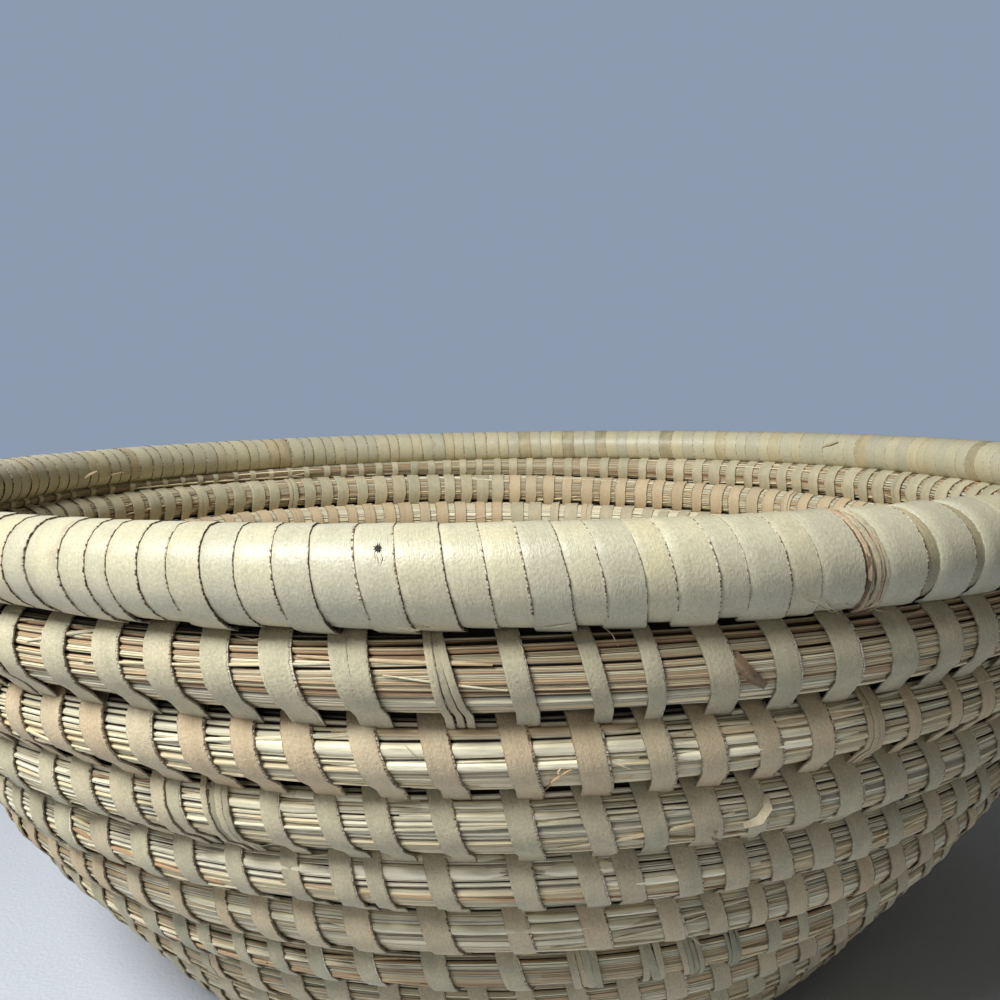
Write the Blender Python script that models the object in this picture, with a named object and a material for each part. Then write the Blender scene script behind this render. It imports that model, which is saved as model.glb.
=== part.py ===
"""Coiled grass basket, built the way its maker builds it.

A bundle of grass stems starts at a small knot, winds outwards as a flat floor, turns up round a
tight corner and climbs as a flared wall. Its last turn thins out under the rim. A second, rounder
bundle lies on top as the rim, its two ends slanted so that one lies over the other, and one palm
strip is wound round it, wrap beside wrap, with each wrap's free edge standing over the next.

Metres, +Z up. The basket stands on z = 0, its axis is Z and its front is at -Y. The winding runs
anticlockwise seen from above, and a place on it is counted in turns, with whole turns at the front.
"""

import math

import bmesh
import bpy
from mathutils import Vector, kdtree

# Whole basket
HEIGHT = 0.124  # from the table to the top of the rim
RIM_RADIUS = 0.155  # from the axis to the middle of the rim bundle

# Side view of the bowl, floor to rim
CORNER_RADIUS = 0.018  # curve between the floor and the wall
WALL_LEAN = math.radians(36)  # straight lower wall, from upright
SHOULDER_RADIUS = 0.200  # curve that brings the wall upright
RIM_LEAN = math.radians(13)  # wall just under the rim, from upright

# Foundation bundle of the floor and wall
ROW_PITCH = 0.013  # from one turn to the next, along the side view
ROW_GAP = 0.0005  # clear space between neighbouring turns
BUNDLE_DEPTH = 0.0136  # through the wall
BUNDLE_SHAPE_SHARES = ((1, 0.45), (0.46, 1), (-0.46, 1), (-1, 0.45))  # half height, half depth
BUNDLE_WEAR_SHARE = 0.1  # of the depth that the floor has worn flat underneath
END_WIDTH = 0.0016  # thinnest place of a tapered end
END_GAP = 0.0003  # clear space where the floor bundle runs on into the wall
POINTS_A_TURN = 24
CLIMB_SWING_SHARE = 0.9  # how far the climb is held back from the front and given to the back
LAST_TURN_SHARE = 0.7  # of the last turn that is laid before the bundle is too thin to bind

# Knot that the winding starts from
KNOT_RADIUS = 0.0065
KNOT_HEIGHT = 0.0115
KNOT_WRAPS = 12
KNOT_GROOVE_SHARE = 0.10  # depth of the groove between two wraps, of the radius
KNOT_SHAPE_SHARES = ((0.0, 0.80), (0.25, 1.0), (0.72, 1.0), (0.94, 0.66))  # height, radius

# Rim bundle and the palm strip wound round it
RIM_THICKNESS = 0.014  # over the binding, from flat to flat
RIM_SIDES = 8
RIM_POINTS_A_TURN = 48
SCARF_TURN = 0.60  # middle of the overlap of the bundle's two slanted ends
SCARF_SHARE = 0.16  # length of the overlap, in turns
WRAP_PITCH = 0.0053  # from one wrap to the next
WRAP_FACE_SHARE = 0.86  # of the pitch that a wrap's face takes before its free edge
WRAP_START_SHARE = 0.5  # of the pitch, from the strip's end to the tucked edge of its first wrap
WRAP_LIP = 0.0005  # how far a free edge stands over the next wrap
STRIP_THICKNESS = 0.0007
STRIP_CLEARANCE = 0.0003  # between the strip and the bundle inside it
SLIT_STEP = 27  # point of the rim, counted from the front, where the strip starts and ends
SLIT_WIDTH = 0.0006

CUTTER_OVERRUN = 0.01  # how far a cutter reaches past what it cuts
SHARP_EDGE = math.radians(50)
UP = Vector((0, 0, 1))

# Worked out from the sizes above
SIDE_ANGLE = 2 * math.pi / RIM_SIDES
FLAT_SHARE = math.cos(SIDE_ANGLE / 2)  # of a corner's distance, to the middle of a flat
EDGE_RADIUS = RIM_THICKNESS / 2 / FLAT_SHARE  # corners of the free edges
FACE_RADIUS = EDGE_RADIUS - WRAP_LIP / FLAT_SHARE  # corners of the tucked edges
BORE_RADIUS = FACE_RADIUS - STRIP_THICKNESS / FLAT_SHARE
RIM_BUNDLE_RADIUS = BORE_RADIUS - STRIP_CLEARANCE / FLAT_SHARE
RIM_HEIGHT = HEIGHT - EDGE_RADIUS * math.cos(SIDE_ANGLE / 2 - RIM_LEAN)
RIM_WRAPS = round(2 * math.pi * RIM_RADIUS / WRAP_PITCH)

SEAM_DROP = RIM_THICKNESS / 2 + ROW_GAP / 2  # from the rim's middle to the seam under it
SEAM_RADIUS = RIM_RADIUS - SEAM_DROP * math.sin(RIM_LEAN)
SEAM_HEIGHT = RIM_HEIGHT - SEAM_DROP * math.cos(RIM_LEAN)

FLOOR_HEIGHT = BUNDLE_DEPTH * (0.5 - BUNDLE_WEAR_SHARE)  # middle of the floor bundle
CORNER_LENGTH = CORNER_RADIUS * (math.pi / 2 - WALL_LEAN)
CORNER_RUN = CORNER_RADIUS * math.cos(WALL_LEAN)
CORNER_RISE = CORNER_RADIUS * (1 - math.sin(WALL_LEAN))
SHOULDER_LENGTH = SHOULDER_RADIUS * (WALL_LEAN - RIM_LEAN)
SHOULDER_RUN = SHOULDER_RADIUS * (math.cos(RIM_LEAN) - math.cos(WALL_LEAN))
SHOULDER_RISE = SHOULDER_RADIUS * (math.sin(WALL_LEAN) - math.sin(RIM_LEAN))
WALL_RISE = SEAM_HEIGHT - FLOOR_HEIGHT - CORNER_RISE - SHOULDER_RISE
WALL_LENGTH = WALL_RISE / math.cos(WALL_LEAN)
WALL_RUN = WALL_LENGTH * math.sin(WALL_LEAN)
FLOOR_RADIUS = SEAM_RADIUS - SHOULDER_RUN - WALL_RUN - CORNER_RUN
SEAM_DISTANCE = FLOOR_RADIUS + CORNER_LENGTH + WALL_LENGTH + SHOULDER_LENGTH
KNOT_EDGE = KNOT_RADIUS + ROW_GAP / 2


def clear_scene():
    """Removes every object of the open scene."""
    for obj in list(bpy.data.objects):
        bpy.data.objects.remove(obj, do_unlink=True)


def plant_material(name, color, roughness):
    """A dry plant surface: one colour and no metal."""
    material = bpy.data.materials.new(name)
    material.use_nodes = True
    shader = material.node_tree.nodes["Principled BSDF"]
    shader.inputs["Base Color"].default_value = (*color, 1)
    shader.inputs["Roughness"].default_value = roughness
    shader.inputs["Metallic"].default_value = 0
    return material


def finished_object(name, mesh_maker, material):
    """Puts a closed bmesh into the scene as one smooth-shaded object."""
    bmesh.ops.recalc_face_normals(mesh_maker, faces=mesh_maker.faces)
    mesh = bpy.data.meshes.new(name)
    mesh_maker.to_mesh(mesh)
    mesh_maker.free()
    mesh.shade_smooth()
    mesh.set_sharp_from_angle(angle=SHARP_EDGE)
    mesh.materials.append(material)
    obj = bpy.data.objects.new(name, mesh)
    bpy.context.scene.collection.objects.link(obj)
    return obj


def radial(turn):
    """Unit vector from the axis towards this place on the winding."""
    azimuth = 2 * math.pi * turn - math.pi / 2
    return Vector((math.cos(azimuth), math.sin(azimuth), 0))


def side_view(distance):
    """Radius, height and lean of the bowl's middle surface, this far along it from the axis."""
    if distance <= FLOOR_RADIUS:
        return distance, FLOOR_HEIGHT, math.pi / 2
    distance -= FLOOR_RADIUS
    if distance <= CORNER_LENGTH:
        lean = math.pi / 2 - distance / CORNER_RADIUS
        rise = CORNER_RADIUS * (1 - math.sin(lean))
        return FLOOR_RADIUS + CORNER_RADIUS * math.cos(lean), FLOOR_HEIGHT + rise, lean
    distance -= CORNER_LENGTH
    radius, height = FLOOR_RADIUS + CORNER_RUN, FLOOR_HEIGHT + CORNER_RISE
    if distance <= WALL_LENGTH:
        run, rise = distance * math.sin(WALL_LEAN), distance * math.cos(WALL_LEAN)
        return radius + run, height + rise, WALL_LEAN
    lean = WALL_LEAN - (distance - WALL_LENGTH) / SHOULDER_RADIUS
    run = SHOULDER_RADIUS * (math.cos(lean) - math.cos(WALL_LEAN))
    rise = SHOULDER_RADIUS * (math.sin(WALL_LEAN) - math.sin(lean))
    return radius + WALL_RUN + run, height + WALL_RISE + rise, lean


def frame_at(radius, height, lean, turn):
    """Point on the bowl, with its outward direction and its direction up the side view."""
    out_of_axis = radial(turn)
    point = radius * out_of_axis + height * UP
    outward = math.cos(lean) * out_of_axis - math.sin(lean) * UP
    upward = math.sin(lean) * out_of_axis + math.cos(lean) * UP
    return point, outward, upward


def climb(turn):
    """Rows gained by this place on the winding: few at the front, most at the back."""
    return turn - CLIMB_SWING_SHARE * math.sin(2 * math.pi * turn) / (2 * math.pi)


def seams(turn):
    """Where the bundle's lower and upper seams lie along the side view. Turn 0 starts the last turn."""
    upper = SEAM_DISTANCE + ROW_PITCH * climb(turn)
    return max(upper - ROW_PITCH, KNOT_EDGE), min(upper, SEAM_DISTANCE)


def bundle_ring(turn):
    """Eight corners of the bundle, wedged between the seams so that it fills its row in any curve."""
    low, high = seams(turn)
    half_height = (high - low) / 2
    half_depth = BUNDLE_DEPTH * half_height / ROW_PITCH
    outer, inner = [], []
    for height_share, depth_share in BUNDLE_SHAPE_SHARES:
        distance = low + half_height * (1 + height_share)
        middle, outward, upward = frame_at(*side_view(distance), turn)
        middle = middle - upward * height_share * ROW_GAP / 2
        outer.append(middle + outward * half_depth * depth_share)
        inner.append(middle - outward * half_depth * depth_share)
    return outer + inner[::-1]


def first_step():
    """Step of the winding at which the bundle, wedged against the knot, is wide enough to start."""
    step = -round(POINTS_A_TURN * SEAM_DISTANCE / ROW_PITCH) - POINTS_A_TURN
    while True:
        low, high = seams(step / POINTS_A_TURN)
        if high - low >= END_WIDTH + ROW_GAP:
            return step
        step += 1


def corner_step():
    """Step of the winding at which the whole bundle has left the flat floor."""
    step = first_step()
    while seams(step / POINTS_A_TURN)[0] < FLOOR_RADIUS:
        step += 1
    return step


def tube(name, rings, material):
    """One closed tube through the rings, with its two ends filled."""
    maker = bmesh.new()
    made = [[maker.verts.new(corner) for corner in ring] for ring in rings]
    for ring, following in zip(made, made[1:]):
        for side in range(len(ring)):
            after = (side + 1) % len(ring)
            maker.faces.new((ring[side], ring[after], following[after], following[side]))
    maker.faces.new(made[0])
    maker.faces.new(reversed(made[-1]))
    return finished_object(name, maker, material)


def print_least_gap(name, rings, points_a_turn):
    """Prints the least distance between points of the tube that lie half a turn or more apart."""
    points = []
    for step, (ring, following) in enumerate(zip(rings, rings[1:])):
        for here, there in zip(ring, following):
            points.append((here, step))
            points.append(((here + there) / 2, step))
    tree = kdtree.KDTree(len(points))
    for index, (point, _) in enumerate(points):
        tree.insert(point, index)
    tree.balance()
    least = math.inf
    for point, step in points:
        for _, index, distance in tree.find_range(point, ROW_PITCH / 2):
            if abs(points[index][1] - step) > points_a_turn / 2:
                least = min(least, distance)
    print(f"{name}: least gap to itself {least * 1000:.2f} mm")


def wear_flat(obj):
    """Cuts away what reaches below the surface that the basket stands on."""
    bpy.ops.mesh.primitive_cube_add(size=1)
    cutter = bpy.context.object
    cutter.name = obj.name + "_ground"
    cutter.scale = (2 * RIM_RADIUS + CUTTER_OVERRUN, 2 * RIM_RADIUS + CUTTER_OVERRUN, CUTTER_OVERRUN)
    cutter.location.z = -CUTTER_OVERRUN / 2
    cutter.hide_render = True
    cutter.display_type = "WIRE"
    cut = obj.modifiers.new("worn flat", "BOOLEAN")
    cut.operation = "DIFFERENCE"
    cut.object = cutter


def build_start_knot(material):
    """Small tied button in the middle of the floor, its wraps running out from the centre."""
    maker = bmesh.new()
    corners = 2 * KNOT_WRAPS
    rings = []
    for height_share, radius_share in KNOT_SHAPE_SHARES:
        ring = []
        for corner in range(corners):
            groove = KNOT_GROOVE_SHARE if corner % 2 else 0
            radius = KNOT_RADIUS * radius_share * (1 - groove)
            point = radius * radial(corner / corners) + KNOT_HEIGHT * height_share * UP
            ring.append(maker.verts.new(point))
        rings.append(ring)
    for ring, following in zip(rings, rings[1:]):
        for corner in range(corners):
            after = (corner + 1) % corners
            maker.faces.new((ring[corner], ring[after], following[after], following[corner]))
    maker.faces.new(rings[0])
    crown = maker.verts.new(KNOT_HEIGHT * UP)
    for corner in range(corners):
        maker.faces.new((rings[-1][corner], rings[-1][(corner + 1) % corners], crown))
    return finished_object("start_knot", maker, material)


def build_floor_coil(material):
    """Flat spiral of the floor, from its thin start round the knot to the corner."""
    steps = range(first_step(), corner_step() + 1)
    rings = [bundle_ring(step / POINTS_A_TURN) for step in steps]
    print_least_gap("floor_coil", rings, POINTS_A_TURN)
    wear_flat(tube("floor_coil", rings, material))


def build_wall_coil(material):
    """Climbing spiral of the wall, from the corner to its long thin end under the rim."""
    start = corner_step() / POINTS_A_TURN
    gap_in_turns = END_GAP / (2 * math.pi * FLOOR_RADIUS)
    last = round(LAST_TURN_SHARE * POINTS_A_TURN)
    rings = [bundle_ring(start + gap_in_turns)]
    rings += [bundle_ring(step / POINTS_A_TURN) for step in range(corner_step() + 1, last + 1)]
    print_least_gap("wall_coil", rings, POINTS_A_TURN)
    wear_flat(tube("wall_coil", rings, material))


def rim_corner(turn, out, up):
    """Point of the rim at this turn, this far outward and upward from the rim's middle."""
    middle, outward, upward = frame_at(RIM_RADIUS, RIM_HEIGHT, RIM_LEAN, turn)
    return middle + out * outward + up * upward


def rim_half_width(radius, up):
    """Half the width of the rim's even-sided section at this height over its middle."""
    corners = [SIDE_ANGLE * (side + 0.5) for side in range(RIM_SIDES // 2)]
    for first, second in zip(corners, corners[1:]):
        top, bottom = radius * math.cos(first), radius * math.cos(second)
        if up >= bottom:
            share = (min(up, top) - bottom) / (top - bottom)
            return radius * (math.sin(second) + share * (math.sin(first) - math.sin(second)))
    return radius * math.sin(corners[-1])


def rim_bundle_ring(turn, low_share, high_share):
    """Section of the rim bundle cut to a part of its height, from 0 below to 1 above."""
    half = RIM_BUNDLE_RADIUS * FLAT_SHARE
    ring = []
    for side in range(RIM_SIDES):
        angle = SIDE_ANGLE * (side + 0.5)
        share = (1 + math.cos(angle) / FLAT_SHARE) / 2
        up = half * (2 * (low_share + (high_share - low_share) * share) - 1)
        out = math.copysign(rim_half_width(RIM_BUNDLE_RADIUS, up), math.sin(angle))
        ring.append(rim_corner(turn, out, up))
    return ring


def build_rim_coil(material):
    """Rim bundle: one level loop whose thin ends lie over each other in a slant."""
    height = 2 * RIM_BUNDLE_RADIUS * FLAT_SHARE
    gap_share = ROW_GAP / height
    thin_share = END_WIDTH / height
    overlap = round(SCARF_SHARE * RIM_POINTS_A_TURN)
    first = round((SCARF_TURN - SCARF_SHARE / 2) * RIM_POINTS_A_TURN)
    rings = []
    for step in range(RIM_POINTS_A_TURN + overlap + 1):
        low_share, high_share = 0, 1
        slant = thin_share + (1 - 2 * thin_share - gap_share) * step / overlap
        if step <= overlap:
            high_share = slant
        if step >= RIM_POINTS_A_TURN:
            wrapped = step - RIM_POINTS_A_TURN
            low_share = thin_share + gap_share + (1 - 2 * thin_share - gap_share) * wrapped / overlap
        rings.append(rim_bundle_ring((first + step) / RIM_POINTS_A_TURN, low_share, high_share))
    print_least_gap("rim_coil", rings, RIM_POINTS_A_TURN)
    return tube("rim_coil", rings, material)


def strip_corner(radius, wraps, side):
    """Corner of the binding, this many wraps along it and on this side of its section."""
    slit = SLIT_WIDTH / (2 * math.pi * RIM_RADIUS)
    turn = SLIT_STEP / RIM_POINTS_A_TURN + slit / 2 + (1 - slit) * wraps / RIM_WRAPS
    angle = SIDE_ANGLE * (side + 0.5)
    return rim_corner(turn, radius * math.sin(angle), radius * math.cos(angle))


def build_rim_binding(material):
    """Palm strip wound round the rim bundle as one screw surface, open at the slit where it ends.

    A wrap has a tucked edge and a free edge. Both move along the rim by one wrap as they go once
    round it, so the corner after a wrap's last side is the first corner of the next wrap.
    """
    maker = bmesh.new()
    full_wraps = RIM_WRAPS - math.ceil(WRAP_START_SHARE + WRAP_FACE_SHARE)
    tucked, free = [], []
    for corner in range(full_wraps * RIM_SIDES + 1):
        place = WRAP_START_SHARE + corner / RIM_SIDES
        side = corner % RIM_SIDES
        tucked.append(maker.verts.new(strip_corner(FACE_RADIUS, place, side)))
        free.append(maker.verts.new(strip_corner(EDGE_RADIUS, place + WRAP_FACE_SHARE, side)))
    for corner in range(full_wraps * RIM_SIDES):
        after = corner + 1
        maker.faces.new((tucked[corner], free[corner], free[after], tucked[after]))
    for corner in range((full_wraps - 1) * RIM_SIDES):
        following = corner + RIM_SIDES
        maker.faces.new((free[corner], tucked[following], tucked[following + 1], free[corner + 1]))

    def end_ring(radius, place):
        return [maker.verts.new(strip_corner(radius, place, side)) for side in range(RIM_SIDES)]

    start, end = end_ring(FACE_RADIUS, 0), end_ring(FACE_RADIUS, RIM_WRAPS)
    last = (full_wraps - 1) * RIM_SIDES
    for side in range(RIM_SIDES - 1):
        maker.faces.new((start[side], tucked[side], tucked[side + 1], start[side + 1]))
        if side:
            maker.faces.new((free[last + side], end[side], end[side + 1], free[last + side + 1]))
    maker.faces.new((start[-1], tucked[RIM_SIDES - 1], tucked[RIM_SIDES]))
    maker.faces.new((start[-1], tucked[RIM_SIDES], free[0]))
    maker.faces.new((start[-1], free[0], tucked[0]))
    maker.faces.new((start[-1], tucked[0], start[0]))
    maker.faces.new((end[1], free[last + 1], free[last]))
    maker.faces.new((end[1], free[last], tucked[-1]))
    maker.faces.new((end[1], tucked[-1], free[-1]))
    maker.faces.new((end[1], free[-1], end[0]))
    maker.faces.new((free[last + RIM_SIDES - 1], end[-1], end[0], free[-1]))

    bore = [
        end_ring(BORE_RADIUS, RIM_WRAPS * step / RIM_POINTS_A_TURN)
        for step in range(RIM_POINTS_A_TURN + 1)
    ]
    for ring, following in [(start, bore[0]), *zip(bore, bore[1:]), (bore[-1], end)]:
        for side in range(RIM_SIDES):
            after = (side + 1) % RIM_SIDES
            maker.faces.new((ring[side], ring[after], following[after], following[side]))
    return finished_object("rim_binding", maker, material)


def main():
    """Builds the basket from its start knot to the binding of its rim."""
    clear_scene()
    straw = plant_material("grass bundle", (0.62, 0.48, 0.25), 0.75)
    rim_straw = plant_material("rim grass bundle", (0.56, 0.43, 0.22), 0.75)
    palm = plant_material("palm strip", (0.50, 0.47, 0.31), 0.55)
    knot = plant_material("knotted palm strip", (0.46, 0.42, 0.27), 0.6)
    build_start_knot(knot)
    build_floor_coil(straw)
    build_wall_coil(straw)
    build_rim_coil(rim_straw)
    build_rim_binding(palm)


main()
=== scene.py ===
"""Looks of the coiled grass basket: its stems, leaf stitches, wound rim and small irregularities.

Metres, +Z up, in the frame of the solids. The winding runs anticlockwise seen from above, and a place
on it is counted in turns: whole turns are at the front (-Y), and turn 0 starts the row under the rim.
"""

import logging
import random
from collections.abc import Callable, Sequence
from dataclasses import dataclass
from enum import Enum
from functools import cached_property
from math import atan2, cos, hypot, pi, radians, sin, sqrt, tau
from typing import Any

import bmesh
import bpy
from bmesh.types import BMesh, BMFace, BMVert
from bpy.types import ColorRamp, Material, Mesh, Node, NodeSocket, NodeTree, Object
from mathutils import Matrix, Vector
from mathutils.bvhtree import BVHTree


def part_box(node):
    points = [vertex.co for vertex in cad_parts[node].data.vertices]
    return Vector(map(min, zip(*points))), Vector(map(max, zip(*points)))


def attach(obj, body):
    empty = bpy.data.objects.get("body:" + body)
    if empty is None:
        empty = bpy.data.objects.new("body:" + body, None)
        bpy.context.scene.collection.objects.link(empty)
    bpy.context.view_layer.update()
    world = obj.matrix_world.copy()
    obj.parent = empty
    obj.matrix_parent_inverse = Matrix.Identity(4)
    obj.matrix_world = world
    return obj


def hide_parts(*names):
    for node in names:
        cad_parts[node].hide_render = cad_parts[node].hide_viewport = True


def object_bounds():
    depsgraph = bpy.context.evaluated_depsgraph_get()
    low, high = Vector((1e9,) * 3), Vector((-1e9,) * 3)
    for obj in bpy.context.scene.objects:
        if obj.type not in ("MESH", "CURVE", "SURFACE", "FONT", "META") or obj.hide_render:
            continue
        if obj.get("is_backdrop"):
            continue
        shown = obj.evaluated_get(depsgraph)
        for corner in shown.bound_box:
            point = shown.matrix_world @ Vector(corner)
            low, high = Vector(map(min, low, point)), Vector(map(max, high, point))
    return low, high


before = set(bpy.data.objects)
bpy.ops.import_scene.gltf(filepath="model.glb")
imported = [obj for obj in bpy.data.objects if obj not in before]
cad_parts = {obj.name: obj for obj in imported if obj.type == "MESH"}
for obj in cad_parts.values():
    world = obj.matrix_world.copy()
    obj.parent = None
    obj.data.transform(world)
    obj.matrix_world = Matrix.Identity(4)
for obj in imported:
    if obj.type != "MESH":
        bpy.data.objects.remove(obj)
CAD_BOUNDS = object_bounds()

LOG = logging.getLogger("basket")
# Pieces of the wall, each with the share of the wall's winding at which it ends
WALL_PARTS = {"wall_lower": 0.36, "wall_middle": 0.69, "wall_upper": 1.0}
BODY = "root"
UP = Vector((0, 0, 1))
PIXELS = 1000  # width and height of the photographed view
MM = 0.001

Color = tuple[float, float, float]
Stops = Sequence[tuple[float, Color]]
Options = dict[str | int, Any]  # what a node's settings or sockets hold, by name or number

# Left and right edges of the strips in the photographed view, in pixels, row by row from the rim down
FRONT_STRIPS = (
    ((0, 18), (45, 68), (95, 122), (147, 175), (203, 232), (262, 297), (335, 372), (430, 455),
     (505, 530), (585, 605), (643, 662), (705, 735), (772, 798), (832, 860), (888, 915), (935, 960),
     (975, 995)),
    ((10, 25), (45, 65), (85, 110), (130, 158), (182, 210), (235, 260), (285, 320), (355, 385),
     (425, 455), (505, 535), (575, 608), (645, 672), (697, 725), (755, 780), (808, 832), (865, 880),
     (905, 918), (948, 960)),
    ((5, 20), (45, 60), (75, 100), (115, 140), (160, 185), (210, 235), (265, 285), (322, 345),
     (370, 395), (435, 460), (508, 537), (583, 610), (640, 665), (690, 720), (745, 765), (790, 818),
     (835, 862), (880, 905), (925, 940)),
    ((60, 80), (97, 115), (138, 155), (180, 200), (232, 250), (287, 305), (335, 358), (370, 388),
     (430, 455), (512, 538), (580, 605), (617, 643), (675, 700), (722, 747), (768, 790), (810, 832),
     (848, 868), (885, 900)),
    ((75, 95), (100, 112), (136, 150), (178, 190), (222, 235), (258, 278), (300, 322), (350, 378),
     (425, 455), (508, 533), (582, 610), (660, 683), (705, 725), (748, 765), (785, 805), (825, 840),
     (855, 870)),
    ((205, 218), (240, 252), (275, 290), (313, 330), (360, 380), (427, 452), (502, 525), (570, 600),
     (640, 662), (680, 700), (725, 738), (765, 778), (795, 805)),
)
# Strips of that view that are split into strands, by row and left edge
FRONT_SPLITS = {
    (0, 430): 3, (0, 335): 2, (1, 865): 3, (2, 160): 2, (2, 210): 4, (5, 570): 4, (5, 640): 3,
    (5, 680): 4, (5, 725): 4,
}
# Wraps of the rim in that view: the seam on their left, tone, lift as a share, grip on the row below
RIM_WRAPS = (
    (5, 0.25, 0.0, 0.2), (27, 0.2, -0.02, 0.1), (37, 0.55, 0.01, 0.6), (60, 0.5, 0.0, 1.0),
    (87, 0.3, 0.0, 0.8), (108, 0.5, 0.005, 0.1), (139, 0.3, 0.0, 0.2), (168, 0.6, 0.01, 0.9),
    (202, 0.1, 0.0, 0.3), (235, 0.5, 0.005, 0.2), (274, 0.15, 0.01, 1.0), (312, 0.05, 0.0, 0.2),
    (358, 0.2, 0.005, 1.0), (398, 0.6, 0.01, 0.6), (447, 0.5, 0.0, 0.3), (487, 0.65, 0.005, 0.1),
    (527, 0.1, 0.01, 1.0), (568, 0.5, 0.0, 0.2), (603, 0.15, 0.005, 1.0), (643, 0.7, 0.0, 0.2),
    (675, 0.5, 0.01, 1.0), (718, 0.35, 0.0, 0.2), (746, 0.2, 0.005, 1.0), (789, 0.6, 0.01, 0.7),
    # The two wraps with tones above 1 are olive and lie low; their dark tone is partly their own colour and
    # partly painted shade from the raised wraps beside them
    (818, 0.15, 0.02, 0.2), (886, 0.2, 0.02, 0.8), (924, 1.12, -0.035, 0.1), (941, 0.1, 0.03, 0.8),
    (971, 1.15, -0.035, 0.1), (985, 0.15, 0.03, 0.9),
)
# Left and right edge there of the rough splice, where the strip was joined
RIM_SPLICE = (862, 886)
# Ragged hole in the rim's leaf in that view, in pixels
INSECT_HOLE = (378, 548)
# Stray fibres in that view: radius and lift in metres, warmth, then the pixels that they pass
FRONT_FIBRES = (
    (0.00022, 0.0016, 0.75, (545, 790), (553, 781), (562, 775), (574, 768)),
    (0.00013, 0.0016, 0.7, (560, 779), (558, 772), (563, 766)),
    (0.00009, 0.0010, 0.1, (470, 519), (482, 516), (500, 518)),
    (0.00009, 0.0010, 0.1, (474, 516), (486, 520), (497, 525)),
    (0.00009, 0.0012, 0.3, (800, 592), (806, 600), (815, 603)),
    (0.00008, 0.0012, 0.1, (404, 626), (416, 631), (430, 627)),
    (0.00008, 0.0012, 0.3, (517, 640), (522, 648), (524, 658)),
    (0.00008, 0.0010, 0.1, (602, 626), (612, 634), (618, 646)),
    (0.00008, 0.0014, 0.7, (610, 760), (622, 766), (636, 771)),
    (0.00009, 0.0012, 0.6, (405, 745), (412, 753), (420, 760)),
    (0.00010, 0.0014, 0.2, (690, 936), (700, 944), (712, 950)),
    (0.00009, 0.0014, 0.1, (240, 840), (262, 846), (284, 842)),
    (0.00012, 0.0012, 0.2, (846, 604), (858, 610), (872, 606), (884, 598)),
    (0.00011, 0.0010, 0.9, (850, 610), (860, 603), (868, 611), (880, 606)),
    (0.00010, 0.0014, 0.3, (868, 598), (876, 610), (888, 612)),
    (0.00010, 0.0012, 0.8, (818, 606), (832, 612), (846, 608)),
    (0.00009, 0.0012, 0.2, (812, 600), (826, 604), (838, 613)),
    (0.00006, 0.0001, 1.0, (376, 554), (377, 558), (378, 563)),
    (0.00005, 0.0001, 1.0, (381, 554), (382, 559), (380, 565)),
    (0.00005, 0.0002, 0.2, (374, 552), (374, 557), (376, 561)),
    (0.00010, 0.0004, 0.2, (545, 627), (560, 626), (576, 622)),
    (0.00010, 0.0010, 0.8, (398, 628), (412, 630), (428, 628)),
    (0.00010, 0.0010, 0.3, (236, 636), (252, 640), (268, 637)),
)
# Thick stems in that view: row, left and right end, a pixel that they pass, radius in millimetres, warmth
FRONT_STEMS = (
    (1, (205, 690), (450, 753), 1.00, -0.35), (1, (330, 640), (450, 770), 0.65, -0.2),
    (1, (330, 668), (450, 734), 0.60, 0.45), (1, (655, 865), (710, 745), 0.60, -0.4),
    (1, (650, 860), (710, 757), 0.65, -0.6), (1, (660, 870), (710, 733), 0.55, 0.3),
    (2, (400, 590), (470, 818), 0.55, -0.6), (2, (395, 560), (470, 806), 0.55, -0.4),
    (2, (180, 340), (285, 808), 0.70, -0.6), (2, (250, 420), (300, 795), 0.60, -0.2),
    (3, (330, 525), (480, 874), 1.10, -0.9), (3, (515, 645), (570, 870), 1.15, -0.6),
    (3, (330, 520), (480, 858), 0.70, 0.0), (3, (590, 760), (640, 884), 0.60, -0.4),
    (3, (190, 340), (300, 868), 0.80, -0.2), (4, (330, 660), (480, 930), 0.75, -0.4),
    (4, (180, 330), (300, 922), 0.60, -0.2), (4, (480, 700), (560, 918), 0.60, -0.3),
)
# Torn and folded leaf ends in that view: width in millimetres, tone, then column, row and lift in
# millimetres of the points along them
FRONT_SCRAPS = (
    (1.9, 1.13, (733, 652, 0.3), (741, 664, 0.9), (752, 677, 1.3), (766, 686, 0.6)),
    (1.0, 0.35, (712, 838, 0.4), (722, 840, 1.2), (735, 841, 1.4), (748, 840, 1.5)),
    (0.9, 0.5, (716, 833, 0.5), (722, 840, 1.0), (731, 846, 0.9)),
    (1.4, 0.45, (766, 796, 0.3), (768, 808, 1.2), (760, 820, 1.8), (744, 826, 1.2)),
    (0.9, 0.8, (84, 478, 0.3), (90, 474, 0.9), (97, 471, 1.6)),
    (0.8, 0.6, (822, 447, 0.3), (830, 444, 0.9), (838, 441, 1.4)),
    (0.6, 0.9, (110, 475, 0.4), (122, 472, 1.2), (130, 474, 0.8)),
)


class Slot(Enum):
    """Material slots of the record."""

    GRASS = "grass_bundle"
    RIM_GRASS = "rim_bundle"
    LEAF = "palm_strip"
    KNOT = "knot_leaf"


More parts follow.
